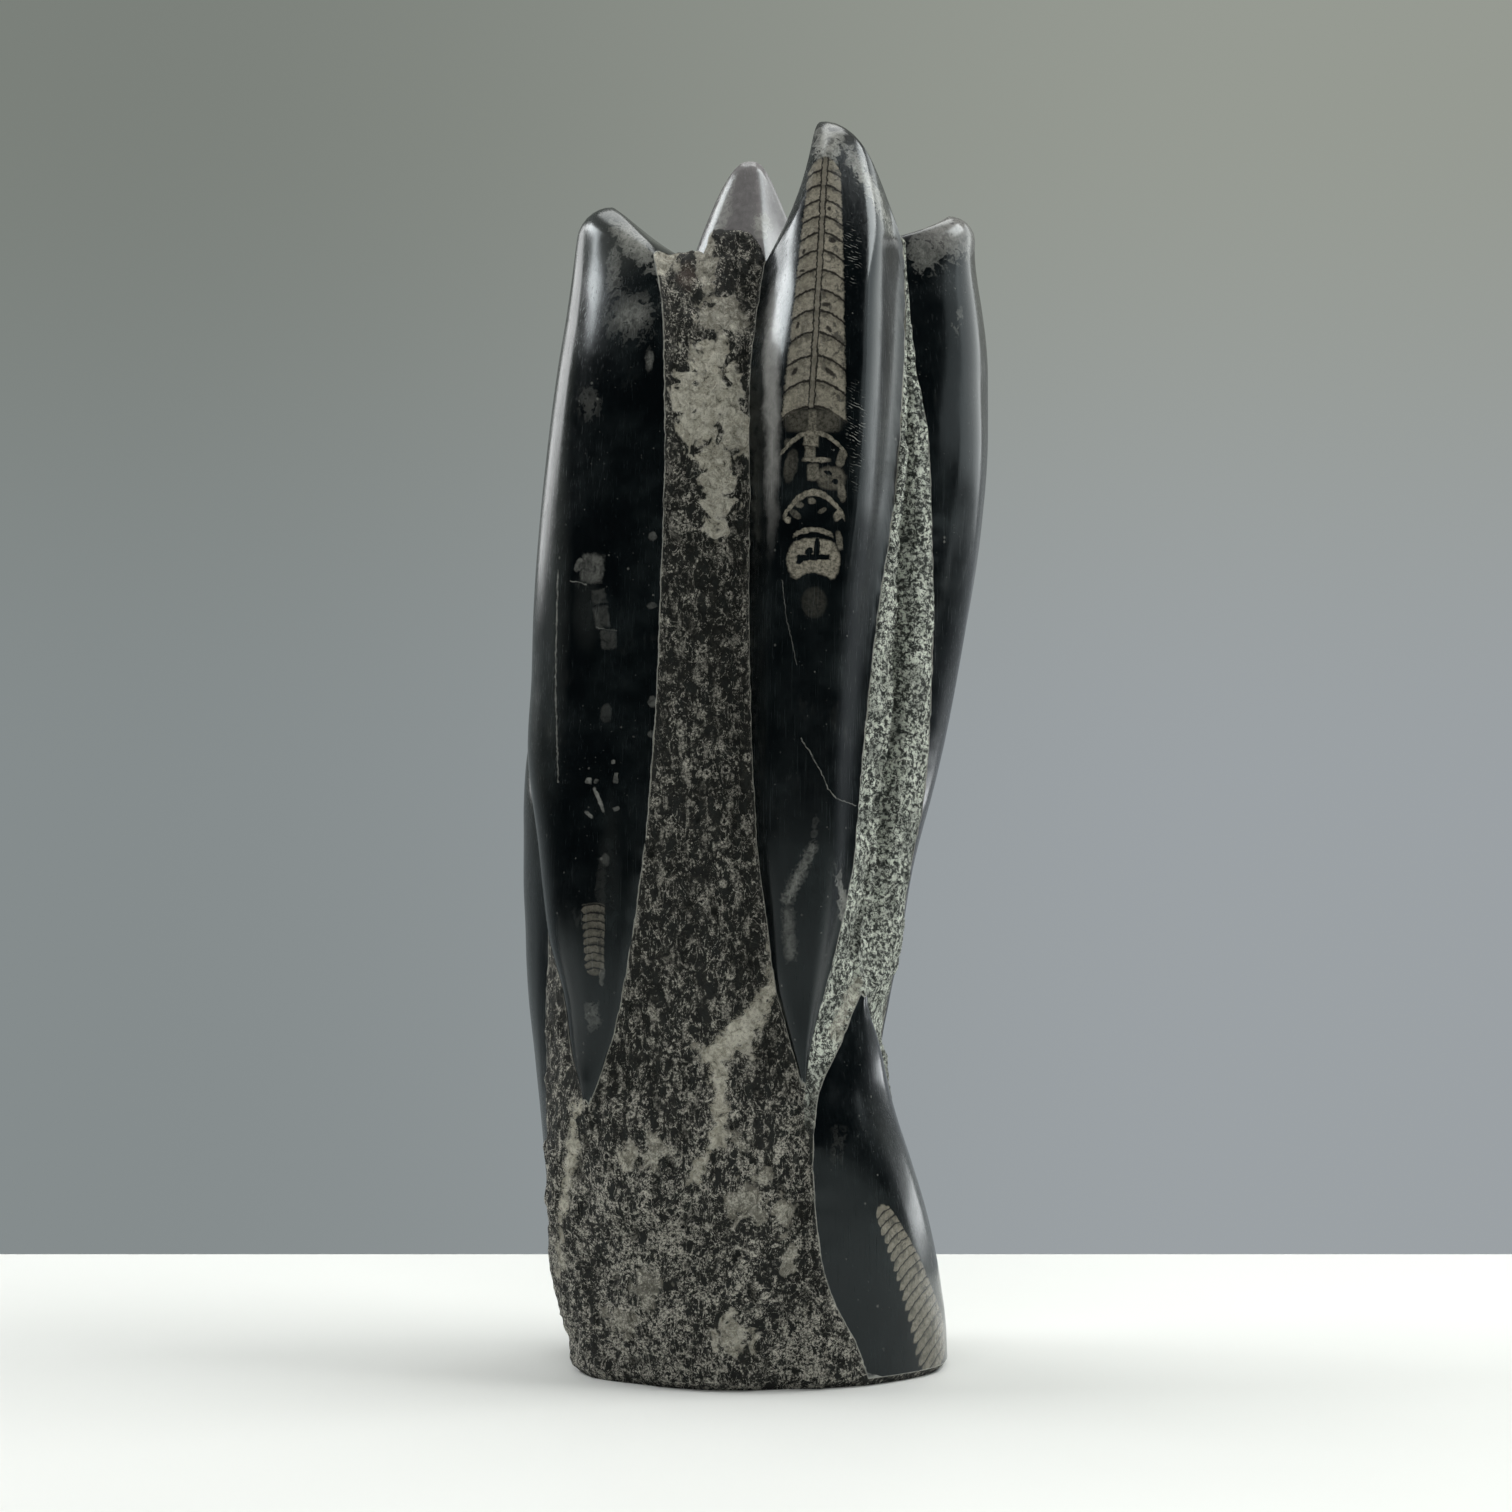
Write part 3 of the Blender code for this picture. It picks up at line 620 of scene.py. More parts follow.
# Markings that both finishes share.
# A patch is an ellipsoid in the stone, or a block where square is 1, with a ragged border.
def makePatch():
    group, given, result = newGroup("stonePatch", [
        ("Vector", "Vector", (0, 0, 0)), ("Centre", "Vector", (0, 0, 0)), ("Turn", "Vector", (0, 0, 0)),
        ("Size", "Vector", (1, 1, 1)), ("Square", "Float", 0.0), ("Ragged", "Float", 0.0),
        ("Softness", "Float", 0.3)], [("Mask", "Float")])
    mapping = group.nodes.new("ShaderNodeMapping")
    mapping.vector_type = "TEXTURE"
    for name, socket in (("Vector", 0), ("Centre", 1), ("Turn", 2), ("Size", 3)):
        group.links.new(given[name], mapping.inputs[socket])
    x, y, z = split(group, mapping.outputs[0])
    block = calc(group, "MAXIMUM", calc(group, "ABSOLUTE", x), calc(group, "ABSOLUTE", z))
    block = calc(group, "MAXIMUM", block, calc(group, "ABSOLUTE", y))
    away = vectorCalc(group, "LENGTH", mapping.outputs[0])
    shape = plus(group, times(group, block, given["Square"]),
                 times(group, away, minus(group, 1.0, given["Square"])))
    shape = plus(group, shape, given["Ragged"])
    mask = ramp(group, shape, plus(group, 1.0, given["Softness"]), minus(group, 1.0, given["Softness"]))
    group.links.new(mask, result["Mask"])
    arrange(group)
    return group


# A vein runs from one place to another. Depth says how much a distance from front to back counts,
# and Core which share of the width is full.
def makeVein():
    group, given, result = newGroup("stoneVein", [
        ("Vector", "Vector", (0, 0, 0)), ("Start", "Vector", (0, 0, 0)), ("End", "Vector", (0, 0, 1)),
        ("Width", "Float", 1.0), ("Depth", "Float", 0.12), ("Core", "Float", 0.68),
        ("Ragged", "Float", 0.0)],
        [("Mask", "Float")])
    run = vectorCalc(group, "SUBTRACT", given["End"], given["Start"])
    reach = vectorCalc(group, "SUBTRACT", given["Vector"], given["Start"])
    share = calc(group, "DIVIDE", vectorCalc(group, "DOT_PRODUCT", reach, run),
                 vectorCalc(group, "DOT_PRODUCT", run, run), clamp=True)
    back = vectorCalc(group, "MULTIPLY", run, join(group, share, share, share))
    apart = vectorCalc(group, "MULTIPLY", vectorCalc(group, "SUBTRACT", reach, back),
                       join(group, 1.0, given["Depth"], 1.0))
    away = plus(group, vectorCalc(group, "LENGTH", apart), given["Ragged"])
    group.links.new(ramp(group, away, given["Width"], times(group, given["Width"], given["Core"])),
                    result["Mask"])
    arrange(group)
    return group


# A chambered shell seen in section: x runs across it and z up towards its tip, in millimetres.
def makeShell():
    group, given, result = newGroup("chamberedShell", [
        ("Vector", "Vector", (0, 0, 0)), ("Tip Width", "Float", 5.7), ("Widening", "Float", 0.06),
        ("Length", "Float", 100.0), ("Chamber", "Float", 5.6), ("Growth", "Float", 0.043),
        ("Bow", "Float", 0.45), ("Wall", "Float", 0.35), ("Tube", "Float", 1.0),
        ("Tube Shift", "Float", 0.0), ("Lobes", "Float", 0.0), ("Ragged", "Float", 0.0)],
        [("Body", "Float"), ("Walls", "Float"), ("Tube", "Float"), ("Across", "Float"), ("Number", "Float"),
         ("Within", "Float")])
    x, _, z = split(group, given["Vector"])
    down = times(group, z, -1.0)
    half = timesPlus(group, down, given["Widening"], given["Tip Width"])
    u = calc(group, "DIVIDE", x, half)
    uu = times(group, u, u)
    droop = times(group, uu, half, given["Bow"])
    level = minus(group, down, droop)
    number = calc(group, "DIVIDE", times(group, level, given["Growth"]), given["Chamber"])
    number = plus(group, calc(group, "MAXIMUM", number, -0.9), 1.0)
    number = calc(group, "DIVIDE", calc(group, "LOGARITHM", number, math.e), given["Growth"])
    lengthHere = timesPlus(group, level, given["Growth"], given["Chamber"])
    toWall = times(group, calc(group, "PINGPONG", number, 0.5), lengthHere)
    walls = ramp(group, toWall, given["Wall"], times(group, given["Wall"], 0.35))
    # each chamber bulges at its left border
    lobe = timesPlus(group, calc(group, "PINGPONG", number, 0.5), -2.0, 1.0)
    lobe = times(group, lobe, lobe, times(group, given["Lobes"], ramp(group, u, 0.0, -0.5)))
    edge = plus(group, plus(group, calc(group, "ABSOLUTE", u), lobe), given["Ragged"])
    body = ramp(group, edge, 1.04, 0.94)
    body = times(group, body, ramp(group, minus(group, down, times(group, uu, half)), -0.5, 0.5))
    body = times(group, body, ramp(group, level, plus(group, given["Length"], 0.4),
                                   minus(group, given["Length"], 0.4)))
    toTube = calc(group, "ABSOLUTE", timesPlus(group, down, given["Tube Shift"], x))
    tubeWall = ramp(group, calc(group, "ABSOLUTE", minus(group, toTube, given["Tube"])), 0.42, 0.14)
    inTube = ramp(group, toTube, given["Tube"], minus(group, given["Tube"], 0.3))
    walls = times(group, walls, minus(group, 1.0, inTube))
    hasTube = calc(group, "GREATER_THAN", given["Tube"], 0.01)
    walls = calc(group, "MAXIMUM", walls, times(group, tubeWall, hasTube))
    whole = calc(group, "FLOOR", number)
    side = times(group, calc(group, "SIGN", x), 0.37)
    white = group.nodes.new("ShaderNodeTexWhiteNoise")
    white.noise_dimensions = "1D"
    group.links.new(plus(group, whole, side), white.inputs["W"])
    for value, name in ((body, "Body"), (walls, "Walls"), (inTube, "Tube"), (u, "Across"),
                        (white.outputs["Value"], "Number"),
                        (calc(group, "FRACT", number), "Within")):
        group.links.new(value, result[name])
    arrange(group)
    return group


# The crushed pale line along an arris, broken in places.
def makeArrisWear():
    group, given, result = newGroup("arrisWear", [
        ("Vector", "Vector", (0, 0, 0)), ("Distance", "Float", 10.0), ("Width", "Float", 0.5),
        ("Breaks", "Float", 0.5)], [("Mask", "Float")])
    where = grain(group, given["Vector"], 9.0, 3.0)
    breaks = ramp(group, where, minus(group, given["Breaks"], 0.12), plus(group, given["Breaks"], 0.05))
    fine = grain(group, given["Vector"], 1.3, 2.0)
    width = times(group, given["Width"], timesPlus(group, fine, 1.6, 0.2))
    line = ramp(group, given["Distance"], width, times(group, width, 0.4))
    group.links.new(times(group, line, breaks), result["Mask"])
    arrange(group)
    return group


# Pale mineral specks, gathered where the cloud noise is high.
def makeSpecks():
    group, given, result = newGroup("paleSpecks", [
        ("Vector", "Vector", (0, 0, 0)), ("Size", "Float", 2.0), ("Share", "Float", 0.1),
        ("Gather", "Float", 0.5)], [("Mask", "Float")])
    node = group.nodes.new("ShaderNodeTexVoronoi")
    group.links.new(given["Vector"], node.inputs["Vector"])
    group.links.new(calc(group, "DIVIDE", 1.0, given["Size"]), node.inputs["Scale"])
    chance, spread, _ = split(group, node.outputs["Color"])
    cloud = grain(group, given["Vector"], 14.0, 2.0)
    threshold = timesPlus(group, minus(group, cloud, 0.5), given["Gather"], given["Share"])
    here = calc(group, "LESS_THAN", chance, threshold)
    dot = ramp(group, node.outputs["Distance"], timesPlus(group, spread, 0.25, 0.12), 0.05)
    group.links.new(times(group, here, dot), result["Mask"])
    arrange(group)
    return group


groups = {"patch": makePatch(), "vein": makeVein(), "shell": makeShell(),
          "arris": makeArrisWear(), "specks": makeSpecks()}
print("node groups built")

# Polished limestone. Places are in millimetres as (x, y, z).
polishedStone = {
    "black": (0.0013, 0.0022, 0.0026), "slate": (0.0085, 0.0115, 0.0120),
    "calcite": (0.29, 0.295, 0.270), "haze": (0.072, 0.078, 0.073),
    "shellPale": (0.25, 0.233, 0.188), "shellMid": (0.115, 0.107, 0.084),
    "shellDark": (0.012, 0.011, 0.010),
    "shellShade": (0.030, 0.028, 0.022), "reflection": (0.87, 0.97, 1.0, 1.0),
    "tubeTone": (0.10, 0.093, 0.075), "stain": (0.05, 0.048, 0.041),
    "roughness": 0.17, "streakRoughness": 0.31, "specular": 0.36, "bump": 0.3, "bumpDistance": 0.0003,
    "cloudSize": 30.0, "mottleSize": 4.2, "fibreSize": 2.4, "wispSize": 22.0, "waveSize": 6.0,
    "speckSize": 2.4, "fineSpeckSize": 1.0, "arrisWidth": 0.32, "arrisBreaks": 0.40,
    "thinVein": 0.6,                    # wider veins have a soft and ragged border
}

# What lies in the stone of each polished ridge, and the painted highlights and sheen set among it.
# clouds: (place, half sizes, turn, square, strength); hazes, even grey stone and some painted sheen and
# highlights: (place, half sizes, strength)
# veins: (start, end, width, strength); shells: the place of the tip, the direction towards it,
# the direction across it, and the shell's own measures in millimetres
markings = {
    "front": {
        "clouds": [
            # the tip cloud is pale stone and partly a painted highlight; the right shoulder cloud below it
            # is a painted highlight
            ((27.2, -30, 469.5), (5.4, 16, 7.4), 0, 0.3, 0.8),
            ((43.0, -24, 452), (3.0, 16, 18), -27, 0, 0.75),
            ((22.0, -60, 208.5), (1.4, 10, 6.0), 6, 0, 0.10),
            ((31.8, -56, 181), (1.4, 10, 10.5), -6, 0.6, 0.5),
        ],
        # the second haze paints a grey reflection on the right flank, and the third paints a highlight
        # along the left wall over milky stone
        "hazeAndSheenTone": (0.20, 0.20, 0.19),
        "hazesAndSheen": [((26, -22, 476), (14, 16, 9), 0.15), ((52, -28, 385), (6, 20, 60), 0.18),
                  ((6.0, -56, 374), (2.8, 14, 46), 1.0)],
        "veins": [
            ((9.7, -65.6, 300.8), (11.0, -66.6, 288.0), 0.2, 0.3),
            ((11.0, -66.6, 288.0), (15.2, -67.5, 269.4), 0.18, 0.2),
            ((16.6, -67, 242.4), (22.5, -66, 232.8), 0.22, 0.4),
            ((22.5, -66, 232.8), (25.1, -65, 228.0), 0.22, 0.45),
            ((25.1, -65, 228.0), (26.6, -63, 223.6), 0.22, 0.45),
            ((26.6, -63, 223.6), (29.5, -60, 220.2), 0.22, 0.4),
            ((29.5, -60, 220.2), (37.2, -52, 217.3), 0.2, 0.35),
            ((21.1, -62, 202.0), (15.9, -64, 191.7), 2.8, 0.36),
            ((15.9, -64, 191.7), (11.4, -65, 183.0), 3.2, 0.42),
            ((11.8, -65, 178.0), (12.8, -63, 162.0), 3.4, 0.26),
        ],
        "shells": [
            {"name": "longShell", "tip": (26.4, -30, 463.4), "up": (0.049, 0, 1), "across": (1, 0, 0),
             "Tip Width": 5.9, "Widening": 0.058, "Length": 99.0, "Chamber": 5.66, "Growth": 0.0429,
             "Bow": 0.42, "Wall": 0.72, "Tube": 1.05, "Tube Shift": 0.011, "Lobes": 0.0, "strength": 0.96},
        ],
        # (x, z, half width, half height, strength)
        "scratches": [(35.6, 424, 3.4, 12, 0.5), (37.0, 360, 3.2, 12, 0.6), (37.5, 342, 2.6, 7, 0.3)],
        # short dark comma marks in the chambers: (x, z, half width, half height, turn)
        "commas": [
            (15.6, 395.6, 0.6, 1.5, 25), (27.2, 394.2, 0.7, 1.4, -35), (14.3, 378.0, 0.8, 1.7, 30),
            (27.4, 378.0, 0.9, 2.2, -50), (26.3, 361.5, 0.8, 2.2, -45), (26.2, 403.6, 1.8, 0.9, 0),
            (13.0, 359.6, 0.6, 1.8, 50), (28.6, 429.0, 1.3, 1.1, 0), (18.0, 424.5, 0.6, 1.2, 10),
            (27.6, 442.0, 0.8, 1.0, 0), (17.2, 417.0, 1.0, 0.6, 0),
        ],
        # the shell's broken lower chambers: (x, z of the top, half width, droop, thickness, strength)

        "arcs": [
            (21.3, 355.4, 12.4, 8.2, 1.15, 0.75), (21.4, 333.2, 11.4, 9.2, 1.5, 0.9),
            (21.2, 319.4, 7.4, 2.4, 1.15, 0.8),
        ],
        # blocks and holes are (x, z, half width, half height, turn, square, strength)
        "blocks": [
            (21.2, 359.6, 10.4, 4.2, 0, 0.6, 0.26), (20.8, 359.0, 1.6, 4.6, 0, 1, 0.55),
            (20.4, 352.6, 2.6, 2.2, 4, 1, 0.75), (20.0, 348.2, 1.9, 1.9, 0, 1, 0.62),
            (22.3, 345.3, 4.9, 0.9, 0, 0.8, 0.8), (21.3, 340.6, 2.2, 3.0, -4, 0.7, 0.55),
            (11.6, 322.9, 1.2, 1.2, 0, 0, 1.0), (30.3, 324.8, 1.4, 2.2, 20, 0, 0.75),
            (20.7, 330.0, 1.5, 1.2, 0, 0, 0.6), (16.1, 328.5, 1.6, 1.2, 0, 0, 0.45),
            (27.8, 338.6, 5.2, 4.2, 0, 0.2, 0.42), (12.9, 343.0, 2.4, 6.0, 10, 0, 0.2),
            (14.6, 325.0, 2.4, 1.3, 40, 0, 0.35), (24.5, 326.5, 1.6, 0.9, -30, 0, 0.35),
            (31.6, 346.0, 1.6, 3.4, 15, 0.3, 0.5), (31.8, 333.6, 1.4, 3.6, -10, 0.3, 0.55),
            (30.8, 315.4, 1.1, 3.4, -8, 0.5, 0.5), (12.0, 351.5, 1.6, 1.6, 0, 0, 0.25),
            (21.5, 292.5, 4.6, 5.6, 0, 0, 0.10),
        ],
        "lastPiece": {"middle": (21.3, 308.0), "half": (9.8, 8.2), "square": 0.35, "cut": (21.4, 293.9),
                      "cutHalf": (9.2, 10.0)},
        "holes": [
            (22.6, 312.8, 1.1, 3.8, 4, 0.7), (21.4, 309.2, 6.4, 1.15, -1, 0.8),
            (16.3, 308.2, 1.3, 1.9, 30, 0.3),
            (19.6, 311.4, 1.6, 1.3, -25, 0.2), (29.4, 337.2, 1.3, 1.1, 0, 0),
            (26.6, 340.6, 1.6, 0.9, 20, 0),
        ],
    },
    "left": {
        "clouds": [
            ((-46.4, -26, 430), (4.0, 14, 15), -39, 0, 0.6), ((-46, -36, 402), (8, 7, 5.5), -10, 0, 0.4),
            ((-47, -36, 402), (9, 14, 9), 0, 0, 0.2), ((-39.8, -38, 384), (2.2, 7, 6.5), 0, 0, 0.4),
            ((-54, -32, 423), (2.8, 12, 12), 0, 0, 0.32), ((-63, -34, 370), (4, 10, 6), 0, 0, 0.12),
            ((-61.4, -40, 306.4), (4.4, 6, 5.4), 6, 0.75, 0.30),
            ((-66.6, -39, 308), (1.6, 6, 2.6), 30, 0.4, 0.3),
            ((-57.8, -44, 288), (2.8, 6, 4.0), -8, 0.85, 0.13),
            ((-55.2, -45, 279.6), (2.8, 6, 3.8), -4, 0.85, 0.14),
            ((-58.8, -43, 295.8), (2.7, 6, 2.7), -10, 0.85, 0.10),
            ((-56.3, -52, 252), (2.5, 6, 4.0), 0, 0, 0.10),
            ((-38.6, -50, 318), (1.6, 6, 1.6), 0, 0, 0.20), ((-38.9, -50, 292), (2.0, 6, 1.4), 0, 0, 0.20),
            ((-38.5, -52, 256), (1.8, 6, 2.2), 0, 0, 0.24), ((-38.8, -52, 244), (1.6, 6, 1.4), 0, 0, 0.20),
            ((-56.0, -54, 197), (1.6, 6, 2.4), 0, 0, 0.12),
            ((-57.2, -54, 154.5), (0.8, 8, 4.5), 2, 0, 0.3), ((-57.6, -54, 188), (1.6, 8, 9), 0, 0.3, 0.05),
            ((-58.6, -52, 219.6), (0.75, 6, 5.0), 158, 0.2, 0.6),
            ((-62.4, -52, 214.0), (2.0, 6, 0.7), 40, 0.3, 0.45),
            ((-62.6, -52, 226.6), (1.2, 6, 1.1), 10, 0.6, 0.5),
            ((-59.8, -52, 226.4), (0.7, 6, 1.0), 25, 0.6, 0.35),
            ((-53.2, -52, 233.5), (0.7, 6, 0.8), 0, 0.9, 0.4),
            ((-52.3, -52, 227.6), (0.8, 6, 1.9), 0, 0.9, 0.3),
            ((-52.0, -52, 216.0), (1.3, 6, 0.8), -20, 0.5, 0.3),
            ((-61.5, -54, 139), (3.4, 8, 5), 0, 0, 0.22),
        ],
        "hazesAndSheen": [
            ((-52, -20, 436), (16, 20, 16), 0.5), ((-54, -52, 195), (3.5, 8, 22), 0.10),
            ((-64, -42, 290), (5, 12, 12), 0.12),
            # the last haze is milky stone along the left edge with a painted sheen on it
            ((-75, -32, 300), (4, 12, 60), 0.14),
        ],
        "veins": [
            ((-70, -38, 302), (-64, -41, 300.5), 0.26, 0.4),
            ((-59.7, -44, 284.0), (-52.3, -46, 282.7), 0.24, 0.3),
            # these two thin lines paint a highlight along the facet edge of the left side, broken like pale
            # specks
            ((-75.2, -32, 306), (-75.9, -32, 262), 0.34, 0.36),
            ((-75.9, -32, 262), (-74.4, -34, 226), 0.32, 0.32),
        ],
        "shells": [
            {"name": "smallShell", "tip": (-60.1, -54, 153.8), "up": (0.02, 0, -1), "across": (1, 0, 0),
             "Tip Width": 3.6, "Widening": 0.030, "Length": 27.2, "Chamber": 2.9, "Growth": 0.005,
             "Bow": -0.24, "Wall": 0.42, "Tube": 0.0, "Tube Shift": 0.0, "Lobes": 0.34, "strength": 0.5},
        ],
    },
    "lowRight": {
        "clouds": [((30, -52, 90), (3, 8, 8), 0, 0, 0.08)],
        # this haze is mostly a painted highlight along the right wall, over some milky stone
        "hazesAndSheen": [((64, -20, 60), (9, 24, 48), 0.7)],
        "veins": [],
        "shells": [
            {"name": "lowShell", "tip": (44.6, -48.5, 67.6), "up": (-0.36, -0.35, 0.87),
             "across": (0.552, 0.695, 0.46),
             "Tip Width": 3.4, "Widening": 0.15, "Length": 74.0, "Chamber": 3.3, "Growth": 0.024,
             "Bow": 0.20, "Wall": 0.42, "Tube": 0.0, "Tube Shift": 0.0, "Lobes": 0.26, "strength": 0.95},
        ],
    },
    "others": {
        "hazeAndSheenTone": (0.175, 0.168, 0.168),
        "clouds": [
            ((74, -4, 437), (12, 16, 10), 0, 0, 0.42), ((65, -18, 431), (7, 10, 8), 0, 0, 0.4),
            ((77, -8, 402), (1.8, 8, 5), 20, 0.3, 0.45),
            ((2.5, 32, 447), (4, 12, 5), 0, 0, 0.9), ((-15, 38, 448), (3.5, 12, 18), 14, 0, 0.8),
            ((-70, 10, 330), (9, 9, 16), 20, 0, 0.25), ((-30, 50, 250), (12, 12, 20), 30, 0, 0.25),
            ((40, 50, 150), (9, 12, 22), -20, 0, 0.25), ((78, 15, 330), (10, 14, 18), 10, 0, 0.2),
        ],
        "hazesAndSheen": [((0, 34, 460), (22, 16, 34), 1.0), ((76, 0, 440), (16, 22, 9), 0.45),
                  ((84, 6, 400), (6, 20, 60), 0.12)],
        "veins": [((-20, 52, 300), (10, 54, 240), 0.5, 0.4), ((10, 54, 240), (24, 52, 190), 0.4, 0.4)],
        "shells": [],
    },
}


def turnY(degrees):
    return (0.0, math.radians(degrees), 0.0)


# The ground of the polished stone: near-black and cloudy, with specks, wisps and polishing streaks.
def makePolishedGround():
    d = polishedStone
    group, given, result = newGroup("polishedGround",
                                    [("Vector", "Vector", (0, 0, 0)), ("Arris", "Float", 20.0)],
                                    [("Colour", "Color"), ("Wear", "Float"), ("Roughness", "Float"),
                                     ("Height", "Float")])
    mm = given["Vector"]
    clouds = grain(group, mm, d["cloudSize"], 5.0, 0.6)
    mottle = grain(group, mm, d["mottleSize"], 4.0, 0.65)
    fibre = grain(group, vectorCalc(group, "MULTIPLY", mm, (1.0, 1.0, 0.4)), d["fibreSize"], 4.0, 0.7,
                  distortion=0.6)
    ground = times(group, ramp(group, clouds, 0.40, 0.70), ramp(group, mottle, 0.3, 0.75, 0.25, 1.0))
    colour = mixColour(group, ground, d["black"], d["slate"])
    wisps = times(group, ramp(group, grain(group, mm, d["wispSize"], 4.0, 0.55, distortion=0.5), 0.6, 0.8),
                 ramp(group, fibre, 0.42, 0.68, 0.0, 0.08))
    specks = place(group, groups["specks"], Vector=mm, Size=d["speckSize"], Share=0.03, Gather=0.3)["Mask"]
    fineSpecks = place(group, groups["specks"], Vector=mm, Size=d["fineSpeckSize"], Share=0.035,
                       Gather=0.35)["Mask"]
    pale = brightest(group, wisps, times(group, specks, 0.30))
    pale = brightest(group, pale, times(group, fineSpecks, 0.22))
    colour = mixColour(group, pale, colour, d["calcite"])
    wear = place(group, groups["arris"], Vector=mm, Distance=given["Arris"], Width=d["arrisWidth"],
                 Breaks=d["arrisBreaks"])["Mask"]
    streaks = grain(group, vectorCalc(group, "MULTIPLY", mm, (1.6, 1.6, 0.05)), 1.0, 4.0, 0.65)
    waves = grain(group, vectorCalc(group, "MULTIPLY", mm, (1.0, 1.0, 0.12)), d["waveSize"], 2.0, 0.5)
    rough = ramp(group, streaks, 0.5, 0.72, d["roughness"], d["streakRoughness"])
    rough = timesPlus(group, wear, 0.35, rough)
    rough = plus(group, rough, ramp(group, clouds, 0.3, 0.7, -0.04, 0.06))
    height = timesPlus(group, streaks, 0.10, times(group, waves, 0.5))
    height = timesPlus(group, wear, -0.4, height)
    for value, name in ((colour, "Colour"), (wear, "Wear"), (rough, "Roughness"), (height, "Height")):
        group.links.new(value, result[name])
    arrange(group)
    return group


# Moved copies of a place, so that borders and veins wander, and noise for their ragged edges.
def makeWander():
    group, given, result = newGroup("wander", [("Vector", "Vector", (0, 0, 0))],
                                    [("Wandered", "Vector"), ("Slightly", "Vector"), ("Fine", "Float"),
                                     ("Mottle", "Float")])
    mm = given["Vector"]
    wander = waver(group, mm, 7.0, 3.0, 0.6, 5.0)
    group.links.new(vectorCalc(group, "ADD", mm, wander), result["Wandered"])
    jitter = waver(group, mm, 1.7, 2.0, 0.6, 1.3)
    little = vectorCalc(group, "MULTIPLY", wander, (0.15, 0.15, 0.15))
    slightly = vectorCalc(group, "ADD", vectorCalc(group, "ADD", mm, little), jitter)
    group.links.new(slightly, result["Slightly"])
    group.links.new(grain(group, mm, 1.3, 4.0, 0.75), result["Fine"])
    group.links.new(grain(group, mm, 3.0, 4.0, 0.65, distortion=0.5), result["Mottle"])
    arrange(group)
    return group


# Short parallel scratches, nearly level, as a file leaves them.
def makeScratches():
    group, given, result = newGroup("scratches",
                                    [("Vector", "Vector", (0, 0, 0)), ("Spacing", "Float", 1.2),
                                                  ("Slant", "Float", 0.4)], [("Mask", "Float")])
    x, _, z = split(group, given["Vector"])
    wave = grain(group, given["Vector"], 5.0, 2.0, 0.5)
    level = timesPlus(group, x, given["Slant"], timesPlus(group, wave, 3.0, z))
    line = calc(group, "PINGPONG", calc(group, "DIVIDE", level, given["Spacing"]), 0.5)
    breaks = grain(group, vectorCalc(group, "MULTIPLY", given["Vector"], (0.7, 0.7, 1.6)), 2.2, 3.0, 0.6)
    mask = times(group, ramp(group, line, 0.16, 0.05), ramp(group, breaks, 0.48, 0.60))
    group.links.new(mask, result["Mask"])
    arrange(group)
    return group


groups["ground"], groups["wander"] = makePolishedGround(), makeWander()
groups["scratches"] = makeScratches()


def frontPatch(tree, vector, x, z, half, tall, turn=0, square=0, ragged=0.0, softness=0.2):
    # a marking that goes straight back into a front face
    return place(tree, groups["patch"], Vector=vector, Centre=(x, -60, z), Turn=turnY(turn),
                 Size=(half, 40, tall), Square=square, Ragged=ragged, Softness=softness)["Mask"]


def brokenChambers(tree, marks, vector, fray):
    x, _, z = split(tree, vector)
    broken = None
    for middle, top, half, droop, thick, strength in marks["arcs"]:
        u = calc(tree, "DIVIDE", minus(tree, x, middle), half)
        line = timesPlus(tree, times(tree, u, u), droop, minus(tree, z, top))
        line = plus(tree, calc(tree, "ABSOLUTE", line), times(tree, fray, 1.4))
        mask = times(tree, ramp(tree, line, thick, thick * 0.6),
                     ramp(tree, calc(tree, "ABSOLUTE", u), 1.03, 0.93))
        broken = brightest(tree, broken, times(tree, mask, strength))
    for middle, height, half, tall, turn, square, strength in marks["blocks"]:
        mask = frontPatch(tree, vector, middle, height, half, tall, turn, square, fray)
        broken = brightest(tree, broken, times(tree, mask, strength))
    last = marks["lastPiece"]
    mask = frontPatch(tree, vector, *last["middle"], *last["half"], 0, last["square"], 0.0, 0.06)
    cut = frontPatch(tree, vector, *last["cut"], *last["cutHalf"], softness=0.05)
    broken = brightest(tree, broken, times(tree, without(tree, mask, cut), 0.95))
    for middle, height, half, tall, turn, square in marks["holes"]:
        broken = without(tree, broken, frontPatch(tree, vector, middle, height, half, tall, turn, square,
                                                  fray, 0.15))
    return broken


